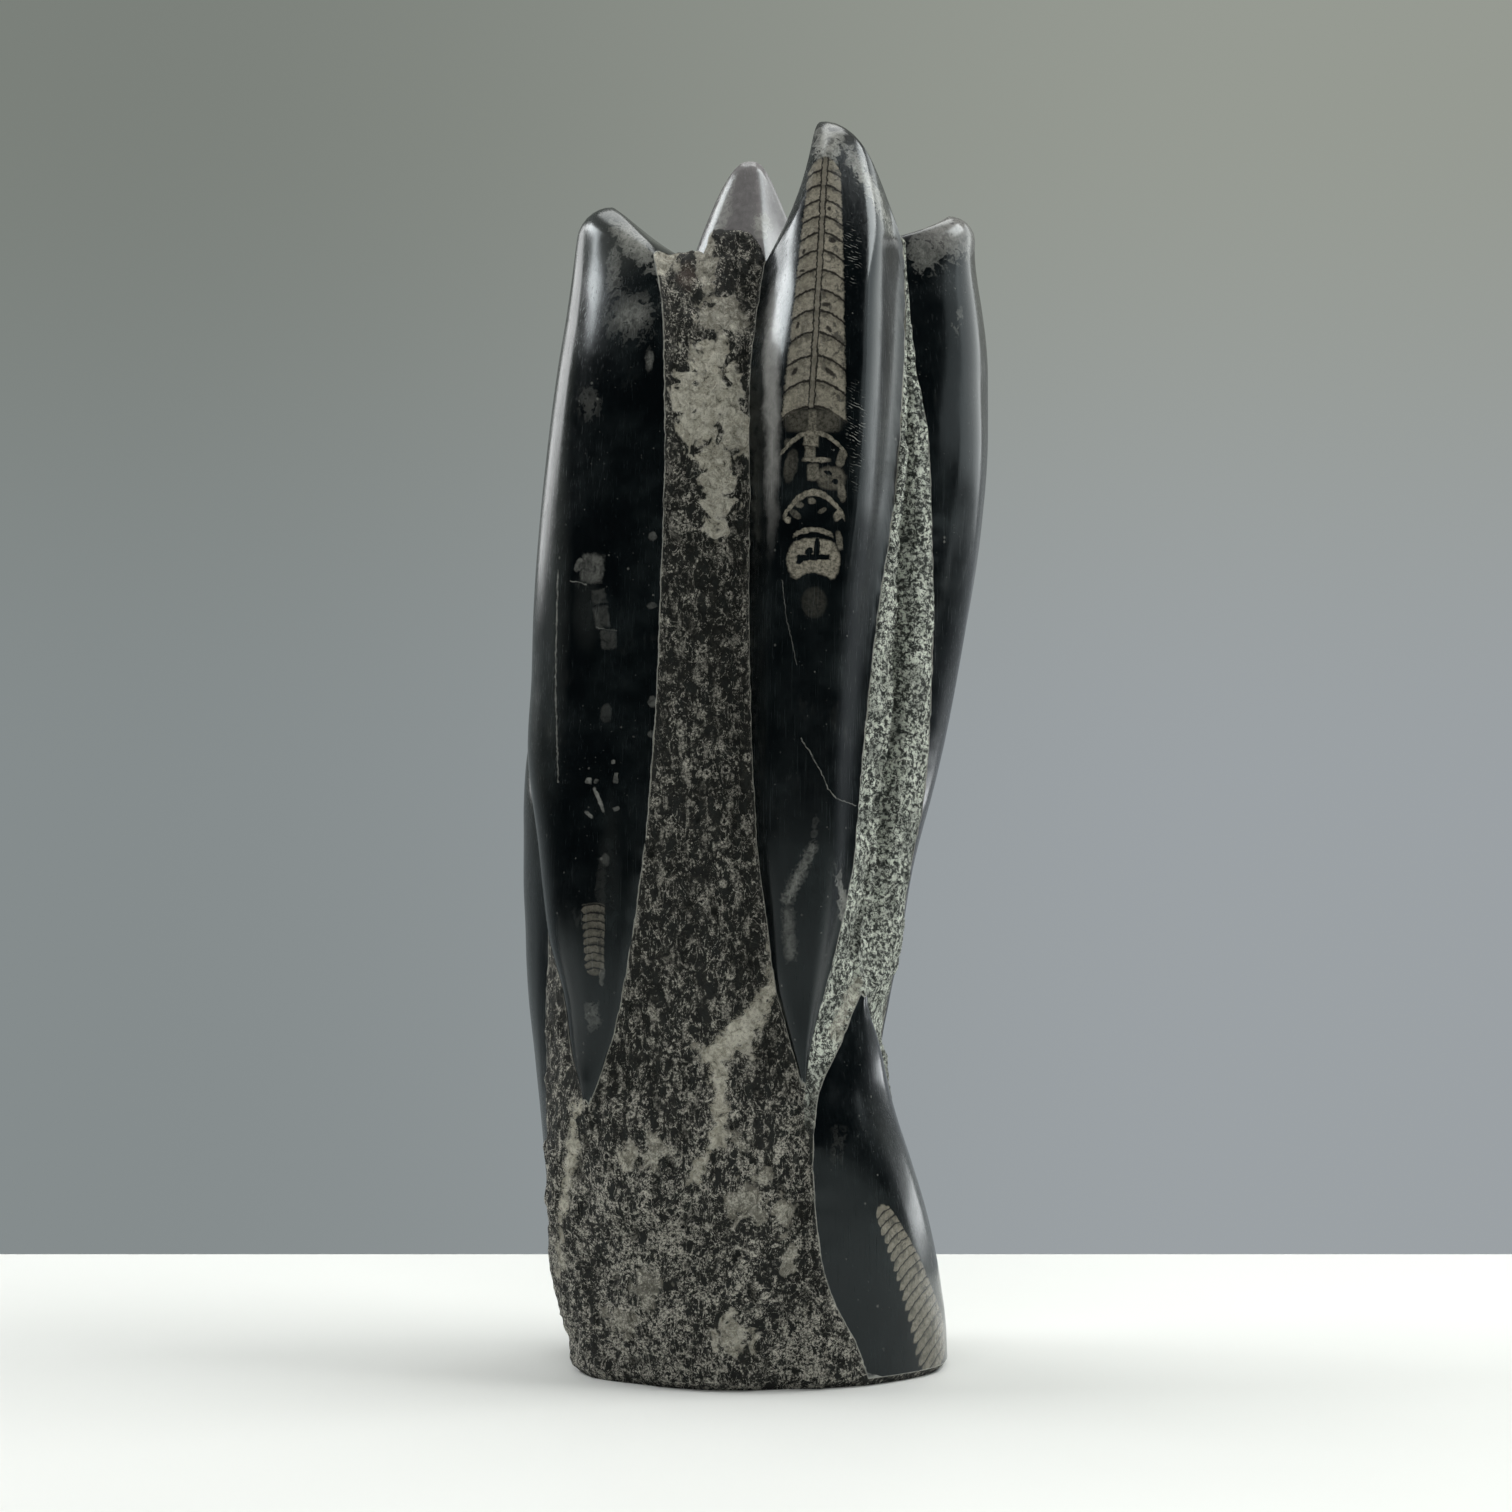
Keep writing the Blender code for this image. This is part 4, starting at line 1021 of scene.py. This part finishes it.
def makePolished(name):
    d, marks = polishedStone, markings[name]
    material = bpy.data.materials.new(name + "Polished")
    material.use_nodes = True
    tree = material.node_tree
    shader = tree.nodes["Principled BSDF"]
    mm = stoneSpace(tree)
    _, y, _ = split(tree, mm)
    ground = place(tree, groups["ground"], Vector=mm, Arris=attribute(tree, "arris"))
    moved = place(tree, groups["wander"], Vector=mm)
    wandered, slightly, fine, mottle = (moved[k] for k in ("Wandered", "Slightly", "Fine", "Mottle"))
    fray = times(tree, minus(tree, fine, 0.5), 0.5)
    colour = ground["Colour"]

    torn = times(tree, minus(tree, mottle, 0.5), 2.0)
    frayed = timesPlus(tree, minus(tree, fine, 0.5), 5.0, times(tree, torn, 3.0))
    broken = ramp(tree, mottle, 0.30, 0.56, 0.25, 1.0)

    # milky stone and painted sheen, then cloudy calcite and painted highlights
    milkyAndSheen = None
    for centre, half, strength in marks["hazesAndSheen"]:
        mask = place(tree, groups["patch"], Vector=wandered, Centre=centre, Size=half, Softness=0.6)["Mask"]
        milkyAndSheen = brightest(tree, milkyAndSheen, times(tree, mask, strength))
    milkyAndSheen = times(tree, milkyAndSheen, ramp(tree, mottle, 0.25, 0.75, 0.7, 1.0))
    colour = mixColour(tree, milkyAndSheen, colour, marks.get("hazeAndSheenTone", d["haze"]))
    # the clouds, veins and scratches are pale stone; on the front and left ridges some of them are painted
    # highlights
    pale = None
    for centre, half, turn, square, strength in marks["clouds"]:
        small = max(half) < 8
        border = fray if small else times(tree, torn, 1.8)
        mask = place(tree, groups["patch"], Vector=slightly if small else wandered, Centre=centre,
                     Turn=turnY(turn), Size=half, Square=square, Ragged=border, Softness=0.2)["Mask"]
        pale = brightest(tree, pale, times(tree, mask, strength))
    pale = times(tree, pale, ramp(tree, mottle, 0.28, 0.66, 0.2, 1.0))
    for start, end, width, strength in marks["veins"]:
        wide = width > d["thinVein"]
        start, end = (start[0], 0, start[2]), (end[0], 0, end[2])  # straight back from the face
        mask = place(tree, groups["vein"], Vector=slightly, Start=start, End=end, Width=width, Depth=0.0,
                     Core=0.0 if wide else 0.68, Ragged=frayed if wide else 0.0)["Mask"]
        pale = brightest(tree, pale, times(tree, mask, broken, strength))
    for x, z, half, tall, strength in marks.get("scratches", ()):
        mask = times(tree, place(tree, groups["scratches"], Vector=mm)["Mask"],
                    frontPatch(tree, wandered, x, z, half, tall, softness=0.4))
        pale = brightest(tree, pale, times(tree, mask, strength))
    colour = mixColour(tree, pale, colour, d["calcite"])

    # the chambered shells lie in the front faces
    front = ramp(tree, y, -10.0, -14.0)
    for own in marks["shells"]:
        shellTone = mixColour(tree, ramp(tree, fine, 0.3, 0.7), d["shellMid"], d["shellPale"])
        up = Vector(own["up"]).normalized()
        across = (Vector(own["across"]) - up * up.dot(Vector(own["across"]))).normalized()
        fromTip = vectorCalc(tree, "SUBTRACT", slightly, own["tip"])
        local = join(tree, vectorCalc(tree, "DOT_PRODUCT", fromTip, across), 0.0,
                     vectorCalc(tree, "DOT_PRODUCT", fromTip, up))
        measures = {k: v for k, v in own.items() if k[0].isupper()}
        shell = place(tree, groups["shell"], Vector=local, Ragged=times(tree, fray, 0.5), **measures)
        tone = mixColour(tree, times(tree, shell["Number"], 0.45), shellTone, d["shellMid"])
        stain = times(tree, ramp(tree, mottle, 0.50, 0.62),
                      ramp(tree, shell["Across"], -0.2, 0.6, 0.45, 0.9))
        tone = mixColour(tree, stain, tone, d["stain"])
        shade = times(tree, ramp(tree, shell["Within"], 0.45, 0.0),
                      ramp(tree, mottle, 0.36, 0.58, 0.15, 0.75))
        tone = mixColour(tree, shade, tone, d["shellShade"])
        tone = mixColour(tree, times(tree, shell["Tube"], 0.55), tone, d["tubeTone"])
        for x, z, half, tall, turn in marks.get("commas", ()):
            mask = frontPatch(tree, slightly, x, z, half, tall, turn, softness=0.35)
            tone = mixColour(tree, times(tree, mask, 0.9), tone, d["shellDark"])
        tone = mixColour(tree, times(tree, shell["Walls"], 0.95), tone, d["shellDark"])
        inShell = times(tree, shell["Body"], front, own["strength"])
        colour = mixColour(tree, inShell, colour, tone)
    if "arcs" in marks:
        broken = brokenChambers(tree, marks, slightly, fray)
        broken = times(tree, broken, front, ramp(tree, fine, 0.25, 0.6, 0.5, 1.0))
        colour = mixColour(tree, broken, colour,
                           mixColour(tree, ramp(tree, fine, 0.35, 0.65), d["shellMid"], d["shellPale"]))

    colour = mixColour(tree, times(tree, ground["Wear"], 0.8), colour, d["calcite"])
    tree.links.new(colour, shader.inputs["Base Color"])
    tree.links.new(timesPlus(tree, pale, 0.15, ground["Roughness"]), shader.inputs["Roughness"])
    bump = tree.nodes.new("ShaderNodeBump")
    bump.inputs["Strength"].default_value = d["bump"]
    bump.inputs["Distance"].default_value = d["bumpDistance"]
    tree.links.new(ground["Height"], bump.inputs["Height"])
    shader.inputs["Specular IOR Level"].default_value = d["specular"]
    shader.inputs["Specular Tint"].default_value = d["reflection"]
    tree.links.new(bump.outputs["Normal"], shader.inputs["Normal"])
    arrange(tree)
    return material


# Chiselled limestone.
chiselledStone = {
    "dark": (0.0120, 0.0135, 0.0118), "mid": (0.041, 0.041, 0.035), "fleck": (0.70, 0.68, 0.59),
    "facet": (0.019, 0.022, 0.020), "line": (0.34, 0.335, 0.28),
    "green": (0.76, 0.81, 0.71), "greenDark": (0.030, 0.037, 0.033), "calcite": (0.71, 0.69, 0.59),
    "cream": (0.44, 0.42, 0.34),
    # the near-black colour is painted shade for the pit centres and low crevices
    "paintedShade": (0.005, 0.005, 0.005), "rustColour": (0.10, 0.055, 0.035),
    "roughness": 0.75, "specular": 0.28, "lowerFlecks": 0.06, "bump": 1.0, "bumpDistance": 0.001,
    "clusterSize": 11.0, "crumbSize": 3.0, "dustSize": 0.8, "strokeSize": 3.4, "threadSize": 4.6,
    "pitSpacing": 9.0, "pitRadius": 1.35, "freshFleckSize": 1.9, "borderWaves": 7.0,
    "arrisWidth": 0.34, "arrisBreaks": 0.42,
    "greenFades": (88.0, 128.0),        # heights between which the fresh greenish stone begins
    # calcite patches are (place, half sizes, turn, strength) and veins (start, end, width, strength)
    "calcitePatches": [
        ((-13, -38, 402), (9, 14, 9), 0, 0.6), ((-19, -44, 370), (12, 14, 20), 4, 1.0),
        ((-15, -45, 338), (6.0, 14, 18), -4, 0.95), ((-8, -43, 362), (5, 14, 15), 0, 0.8),
        ((-9, -61, 21), (7, 14, 8), 0, 0.75), ((-4, -62, 70), (6, 14, 7), 0, 0.45),
        ((-47, -55, 87), (3.5, 14, 9), 0, 0.65), ((-38, -58, 88), (3.4, 14, 6), 0, 0.5),
        ((10, -61, 66), (3.2, 14, 7), 0, 0.55), ((12.5, -61, 49), (2.4, 14, 6), 10, 0.5),
        ((3, -60, 80), (4, 12, 4), 0, 0.45),
        ((-52, -52, 24), (8, 14, 5), 0, 0.4),
        ((-20, -30, 424), (4, 12, 16), -10, 0.55), ((-39, -29, 424), (8, 12, 9), 20, 0.7),
        ((-40, -57, 38), (8, 14, 6), 30, 0.35),
        ((60, 30, 300), (6, 14, 20), 0, 0.5), ((-30, 55, 60), (14, 12, 12), 30, 0.5),
        ((-55, 42, 300), (6, 12, 26), 10, 0.5),
    ],
    "calciteVeins": [
        ((7, -59, 168), (6, -59, 150), 1.7, 0.8), ((6, -59, 150), (0, -59, 140), 3.6, 1.0),
        ((0, -59, 140), (-9, -58, 131), 4.6, 1.0), ((-4, -59, 137), (-3, -59, 126), 3.0, 0.8),
        ((-9, -58, 131), (-16, -60, 124), 4.4, 1.0), ((-16, -60, 124), (-23, -60, 128), 1.4, 0.6),
        ((-16, -60, 124), (-12.5, -60, 108), 2.6, 0.95), ((-12.5, -60, 108), (-14.5, -61, 93), 3.4, 1.0),
        ((-14.5, -61, 93), (-23, -62, 80), 2.6, 0.85), ((-12, -60, 97), (-4, -60, 92), 1.4, 0.5),
        ((-67.5, -44, 104), (-73, -33, 62), 1.9, 1.0), ((-73, -33, 62), (-75, -29, 38), 0.9, 0.8),
        ((30, -50, 132), (38, -44, 150), 3.0, 0.5), ((20, 58, 40), (-20, 58, 110), 2.4, 0.5),
    ],
    "rust": ((-26, -33, 417), (3.4, 8, 6), 0.28),
}


def makeChiselled():
    d = chiselledStone
    material = bpy.data.materials.new("chiselledLimestone")
    material.use_nodes = True
    tree = material.node_tree
    shader = tree.nodes["Principled BSDF"]
    mm = stoneSpace(tree)
    _, _, z = split(tree, mm)
    hollow, arris = attribute(tree, "hollow"), attribute(tree, "arris")
    greenish = times(tree, attribute(tree, "greenish"), ramp(tree, z, *d["greenFades"]))

    clusters = grain(tree, mm, d["clusterSize"], 3.0, 0.6)
    crumbs = grain(tree, mm, d["crumbSize"], 7.0, 0.76, distortion=0.7)
    dust = grain(tree, mm, d["dustSize"], 3.0, 0.75)
    crisp = timesPlus(tree, minus(tree, dust, 0.5), 0.22, crumbs)
    wandered = place(tree, groups["wander"], Vector=mm)["Wandered"]
    colour = mixColour(tree, ramp(tree, crisp, 0.44, 0.60), d["dark"], d["mid"])

    # light broken flecks in clusters, more of them low down
    lower = ramp(tree, z, 130.0, 60.0, 0.0, d["lowerFlecks"])
    gathered = timesPlus(tree, minus(tree, clusters, 0.5), 0.34, plus(tree, crisp, lower))
    flecks = ramp(tree, gathered, 0.575, 0.63)
    # upright strokes of the chisel: pale crushed ridges between smooth dark facets
    upright = vectorCalc(tree, "MULTIPLY", mm, (1.0, 1.0, 0.40))
    strokes = grain(tree, upright, d["strokeSize"], 3.0, 0.55, distortion=0.5)
    level = grain(tree, vectorCalc(tree, "MULTIPLY", mm, (0.5, 0.5, 1.3)), d["strokeSize"], 3.0, 0.55,
                  distortion=0.5)
    level = times(tree, minus(tree, level, strokes), ramp(tree, z, 85.0, 60.0, 0.0, 0.6))
    strokes = plus(tree, strokes, level)
    strokes = timesPlus(tree, minus(tree, crisp, 0.5), 0.35, strokes)
    facet = ramp(tree, strokes, 0.45, 0.38)
    colour = mixColour(tree, times(tree, facet, 0.9), colour, d["facet"])
    crushed = times(tree, ramp(tree, strokes, 0.54, 0.66), ramp(tree, z, 170.0, 60.0, 0.56, 0.92))
    flecks = times(tree, flecks, timesPlus(tree, facet, -0.92, 1.0))
    # curled upright threads where a flake came away, and small ring pits
    threads = grain(tree, upright, d["threadSize"], 3.0, 0.55, distortion=1.6)
    thread = ramp(tree, calc(tree, "ABSOLUTE", minus(tree, threads, 0.5)), 0.030, 0.008)
    thread = times(tree, thread, ramp(tree, gathered, 0.45, 0.52))
    far, tint = cells(tree, mm, d["pitSpacing"])
    fromPit = timesPlus(tree, far, d["pitSpacing"], timesPlus(tree, crisp, 4.0, -2.0))
    red = tree.nodes.new("ShaderNodeSeparateColor")
    plug(tree, tint, red.inputs[0])
    pitted = ramp(tree, red.outputs[0], 0.58, 0.60)
    ring = times(tree, ramp(tree, calc(tree, "ABSOLUTE", minus(tree, fromPit, d["pitRadius"])), 0.5, 0.15),
                 pitted)
    # the dark centre of each ring pit is a painted shadow
    pit = times(tree, ramp(tree, fromPit, 0.95, 0.65), pitted)
    light = brightest(tree, brightest(tree, times(tree, flecks, 0.85), crushed),
                      times(tree, brightest(tree, thread, ring), 0.85))
    light = times(tree, light, ramp(tree, dust, 0.40, 0.60, 0.16, 1.0))
    # the pale marks are dimmed in the hollows of the blows: painted shade
    light = times(tree, light, ramp(tree, hollow, 0.2, 0.8, 1.0, 0.25))
    light = times(tree, light, timesPlus(tree, greenish, -0.8, 1.0))
    colour = mixColour(tree, light, colour, d["fleck"])
    colour = mixColour(tree, pit, colour, d["paintedShade"])

    # the flute on the right is fresher stone, thick with greenish white specks
    dense = ramp(tree, grain(tree, mm, d["freshFleckSize"], 6.0, 0.85, distortion=0.4), 0.49, 0.53)
    dense = times(tree, dense, ramp(tree, clusters, 0.32, 0.55, 0.5, 1.0))
    colour = mixColour(tree, times(tree, greenish, 0.7), colour, d["greenDark"])
    colour = mixColour(tree, times(tree, dense, greenish), colour, d["green"])

    # calcite patches and veins
    coarse = grain(tree, mm, d["borderWaves"], 2.0, 0.55, distortion=0.8)
    ragged = timesPlus(tree, minus(tree, coarse, 0.5), 3.2, minus(tree, crisp, 0.5))
    raggedVein = timesPlus(tree, minus(tree, coarse, 0.5), 9.0, timesPlus(tree, crisp, 13.0, -6.5))
    calcite = None
    for centre, half, turn, strength in d["calcitePatches"]:
        mask = place(tree, groups["patch"], Vector=wandered, Centre=centre, Turn=turnY(turn), Size=half,
                     Ragged=ragged, Softness=0.12)["Mask"]
        calcite = brightest(tree, calcite, times(tree, mask, strength))
    for start, end, width, strength in d["calciteVeins"]:
        mask = place(tree, groups["vein"], Vector=wandered, Start=start, End=end, Width=width,
                     Ragged=raggedVein)["Mask"]
        calcite = brightest(tree, calcite, times(tree, mask, strength))
    tone = mixColour(tree, ramp(tree, crumbs, 0.44, 0.56), d["cream"], d["calcite"])
    tone = mixColour(tree, ramp(tree, crisp, 0.42, 0.35, 0.0, 0.6), tone, d["mid"])
    calcite = times(tree, calcite, ramp(tree, dust, 0.25, 0.5, 0.5, 1.0))
    colour = mixColour(tree, calcite, colour, tone)
    centre, half, strength = d["rust"]
    rust = place(tree, groups["patch"], Vector=wandered, Centre=centre, Size=half, Softness=0.4)["Mask"]
    colour = mixColour(tree, times(tree, rust, strength), colour, d["rustColour"])

    # crushed border beside the arris, and painted shade where the crumbled surface is low
    wear = place(tree, groups["arris"], Vector=mm, Distance=arris, Width=d["arrisWidth"],
                 Breaks=d["arrisBreaks"])["Mask"]
    colour = mixColour(tree, times(tree, wear, 0.85), colour, d["line"])
    colour = mixColour(tree, ramp(tree, crumbs, 0.42, 0.30, 0.0, 0.8), colour, d["paintedShade"])

    rough = ramp(tree, crumbs, 0.3, 0.7, d["roughness"] - 0.12, d["roughness"] + 0.12)
    shader.inputs["Specular IOR Level"].default_value = d["specular"]
    tree.links.new(colour, shader.inputs["Base Color"])
    tree.links.new(rough, shader.inputs["Roughness"])
    bump = tree.nodes.new("ShaderNodeBump")
    bump.inputs["Strength"].default_value = d["bump"]
    bump.inputs["Distance"].default_value = d["bumpDistance"]
    height = timesPlus(tree, crumbs, 3.0, times(tree, dust, 0.4))
    height = timesPlus(tree, brightest(tree, thread, ring), 0.35, height)
    tree.links.new(height, bump.inputs["Height"])
    tree.links.new(bump.outputs["Normal"], shader.inputs["Normal"])
    arrange(tree)
    return material


fossilTower = buildTower()
fossilTower.data.materials.append(makePolished("others"))
fossilTower.data.materials.append(makeChiselled())
for ridge in finishes:
    fossilTower.data.materials.append(makePolished(ridge))
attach(fossilTower, "root")
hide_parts("orthoceras_tower")
print("materials built")

# Stage, light and camera.
studio = {
    "tableSize": (4.4, 3.2, 0.05), "tableBack": 0.284, "tableColour": (0.665, 0.682, 0.665),
    # the backdrop as seen from the front: low left, low right, high left, high right
    "backdrop": [(0.235, 0.262, 0.266), (0.33, 0.357, 0.376), (0.198, 0.216, 0.195), (0.305, 0.323, 0.287)],
    "cameraSide": (0.006, 0.007, 0.008),
    # name, place, aim, size, watts, colour, and whether the polished faces mirror it
    "lights": [
        ("leftRearBox", (-1.17, 0.76, 1.08), (0.0, 0.0, 0.4), (0.36, 0.28), 2.7, (1.0, 1.0, 1.0), True),
        ("leftFarBox", (-0.93, 1.03, 0.70), (0.0, 0.0, 0.4), (0.42, 0.56), 2.0, (1.0, 1.0, 1.0), True),
        ("leftHighBox", (-1.13, 0.16, 1.10), (0.0, 0.0, 0.4), (0.66, 0.34), 11.4, (1.0, 1.0, 1.0), True),
        ("rightLowBox", (0.98, 0.82, 0.052), (0.05, 0.0, 0.05), (0.56, 0.09), 0.5, (0.97, 0.99, 1.0), True),
        ("rightBox", (1.21, 0.45, 0.80), (0.0, 0.0, 0.3), (1.65, 0.95), 9.8, (0.96, 1.0, 1.0), True),
        ("rightFrontBox", (1.10, -0.45, 0.85), (0.0, 0.0, 0.3), (0.5, 0.9), 1.4, (0.96, 1.0, 1.0), True),
        ("rightHighBox", (0.97, -0.08, 1.48), (0.0, 0.0, 0.4), (0.85, 0.62), 19.0, (1.0, 0.99, 0.97), True),
        ("topBox", (-0.1, 0.45, 1.9), (0.0, 0.0, 0.25), (1.2, 0.8), 14.0, (1.0, 0.99, 0.97), True),
        ("frontFill", (-0.3, -2.3, 1.7), (0.0, 0.0, 0.25), (2.2, 1.6), 31.0, (1.0, 1.0, 0.99), False),
    ],
    "cameraPlace": (0.00005, -1.29724, 0.2358), "lens": 79.4,
}


def makeStage():
    d = studio
    bm = bmesh.new()
    bmesh.ops.create_cube(bm, size=1)
    bmesh.ops.scale(bm, vec=d["tableSize"], verts=bm.verts)
    bmesh.ops.translate(bm, vec=(0, d["tableBack"] - d["tableSize"][1] / 2, -d["tableSize"][2] / 2),
                        verts=bm.verts)
    bmesh.ops.bevel(bm, geom=bm.edges[:], offset=0.003, segments=3, profile=0.5, affect="EDGES",
                    material=-1)
    mesh = bpy.data.meshes.new("studioTable")
    bm.to_mesh(mesh)
    bm.free()
    table = bpy.data.objects.new("studioTable", mesh)
    bpy.context.scene.collection.objects.link(table)
    material = bpy.data.materials.new("paleTable")
    material.use_nodes = True
    tree = material.node_tree
    shader = tree.nodes["Principled BSDF"]
    cloud = grain(tree, stoneSpace(tree), 160.0, 2.0)
    tree.links.new(mixColour(tree, cloud, d["tableColour"], [c * 0.96 for c in d["tableColour"]]),
                   shader.inputs["Base Color"])
    shader.inputs["Roughness"].default_value = 0.5
    arrange(tree)
    mesh.materials.append(material)


def makeLights():
    for name, where, aim, size, watts, colour, mirrored in studio["lights"]:
        lamp = bpy.data.lights.new(name, "AREA")
        lamp.shape, lamp.size, lamp.size_y = "RECTANGLE", *size
        lamp.energy, lamp.color = watts, colour
        light = bpy.data.objects.new(name, lamp)
        light.location, light.visible_glossy = where, mirrored
        light.rotation_euler = (Vector(aim) - Vector(where)).to_track_quat("-Z", "Y").to_euler()
        bpy.context.scene.collection.objects.link(light)


def makeWorld():
    # pale behind the object; the polished faces mirror a dark room behind the camera
    world = bpy.data.worlds.new("studioWorld")
    bpy.context.scene.world = world
    world.use_nodes = True
    tree = world.node_tree
    coordinates = tree.nodes.new("ShaderNodeTexCoord")
    x, y, z = split(tree, coordinates.outputs["Generated"])
    lowLeft, lowRight, highLeft, highRight = studio["backdrop"]
    across = ramp(tree, x, -0.2, 0.16)
    backdrop = mixColour(tree, ramp(tree, z, -0.02, 0.2), mixColour(tree, across, lowLeft, lowRight),
                         mixColour(tree, across, highLeft, highRight))
    seen = calc(tree, "MAXIMUM", ramp(tree, y, -0.1, 0.7),
                tree.nodes.new("ShaderNodeLightPath").outputs["Is Camera Ray"])
    backdrop = mixColour(tree, seen, studio["cameraSide"], backdrop)
    tree.links.new(backdrop, tree.nodes["Background"].inputs["Color"])
    arrange(tree)


def makeCamera():
    data = bpy.data.cameras.new("studioCamera")
    data.lens, data.sensor_width = studio["lens"], 36.0
    camera = bpy.data.objects.new("studioCamera", data)
    camera.location = studio["cameraPlace"]
    camera.rotation_euler = (math.radians(90), 0, 0)
    bpy.context.scene.collection.objects.link(camera)
    bpy.context.scene.camera = camera


makeStage()
makeLights()
makeWorld()
makeCamera()
bpy.context.scene.view_settings.view_transform = "Standard"
print("studio ready")
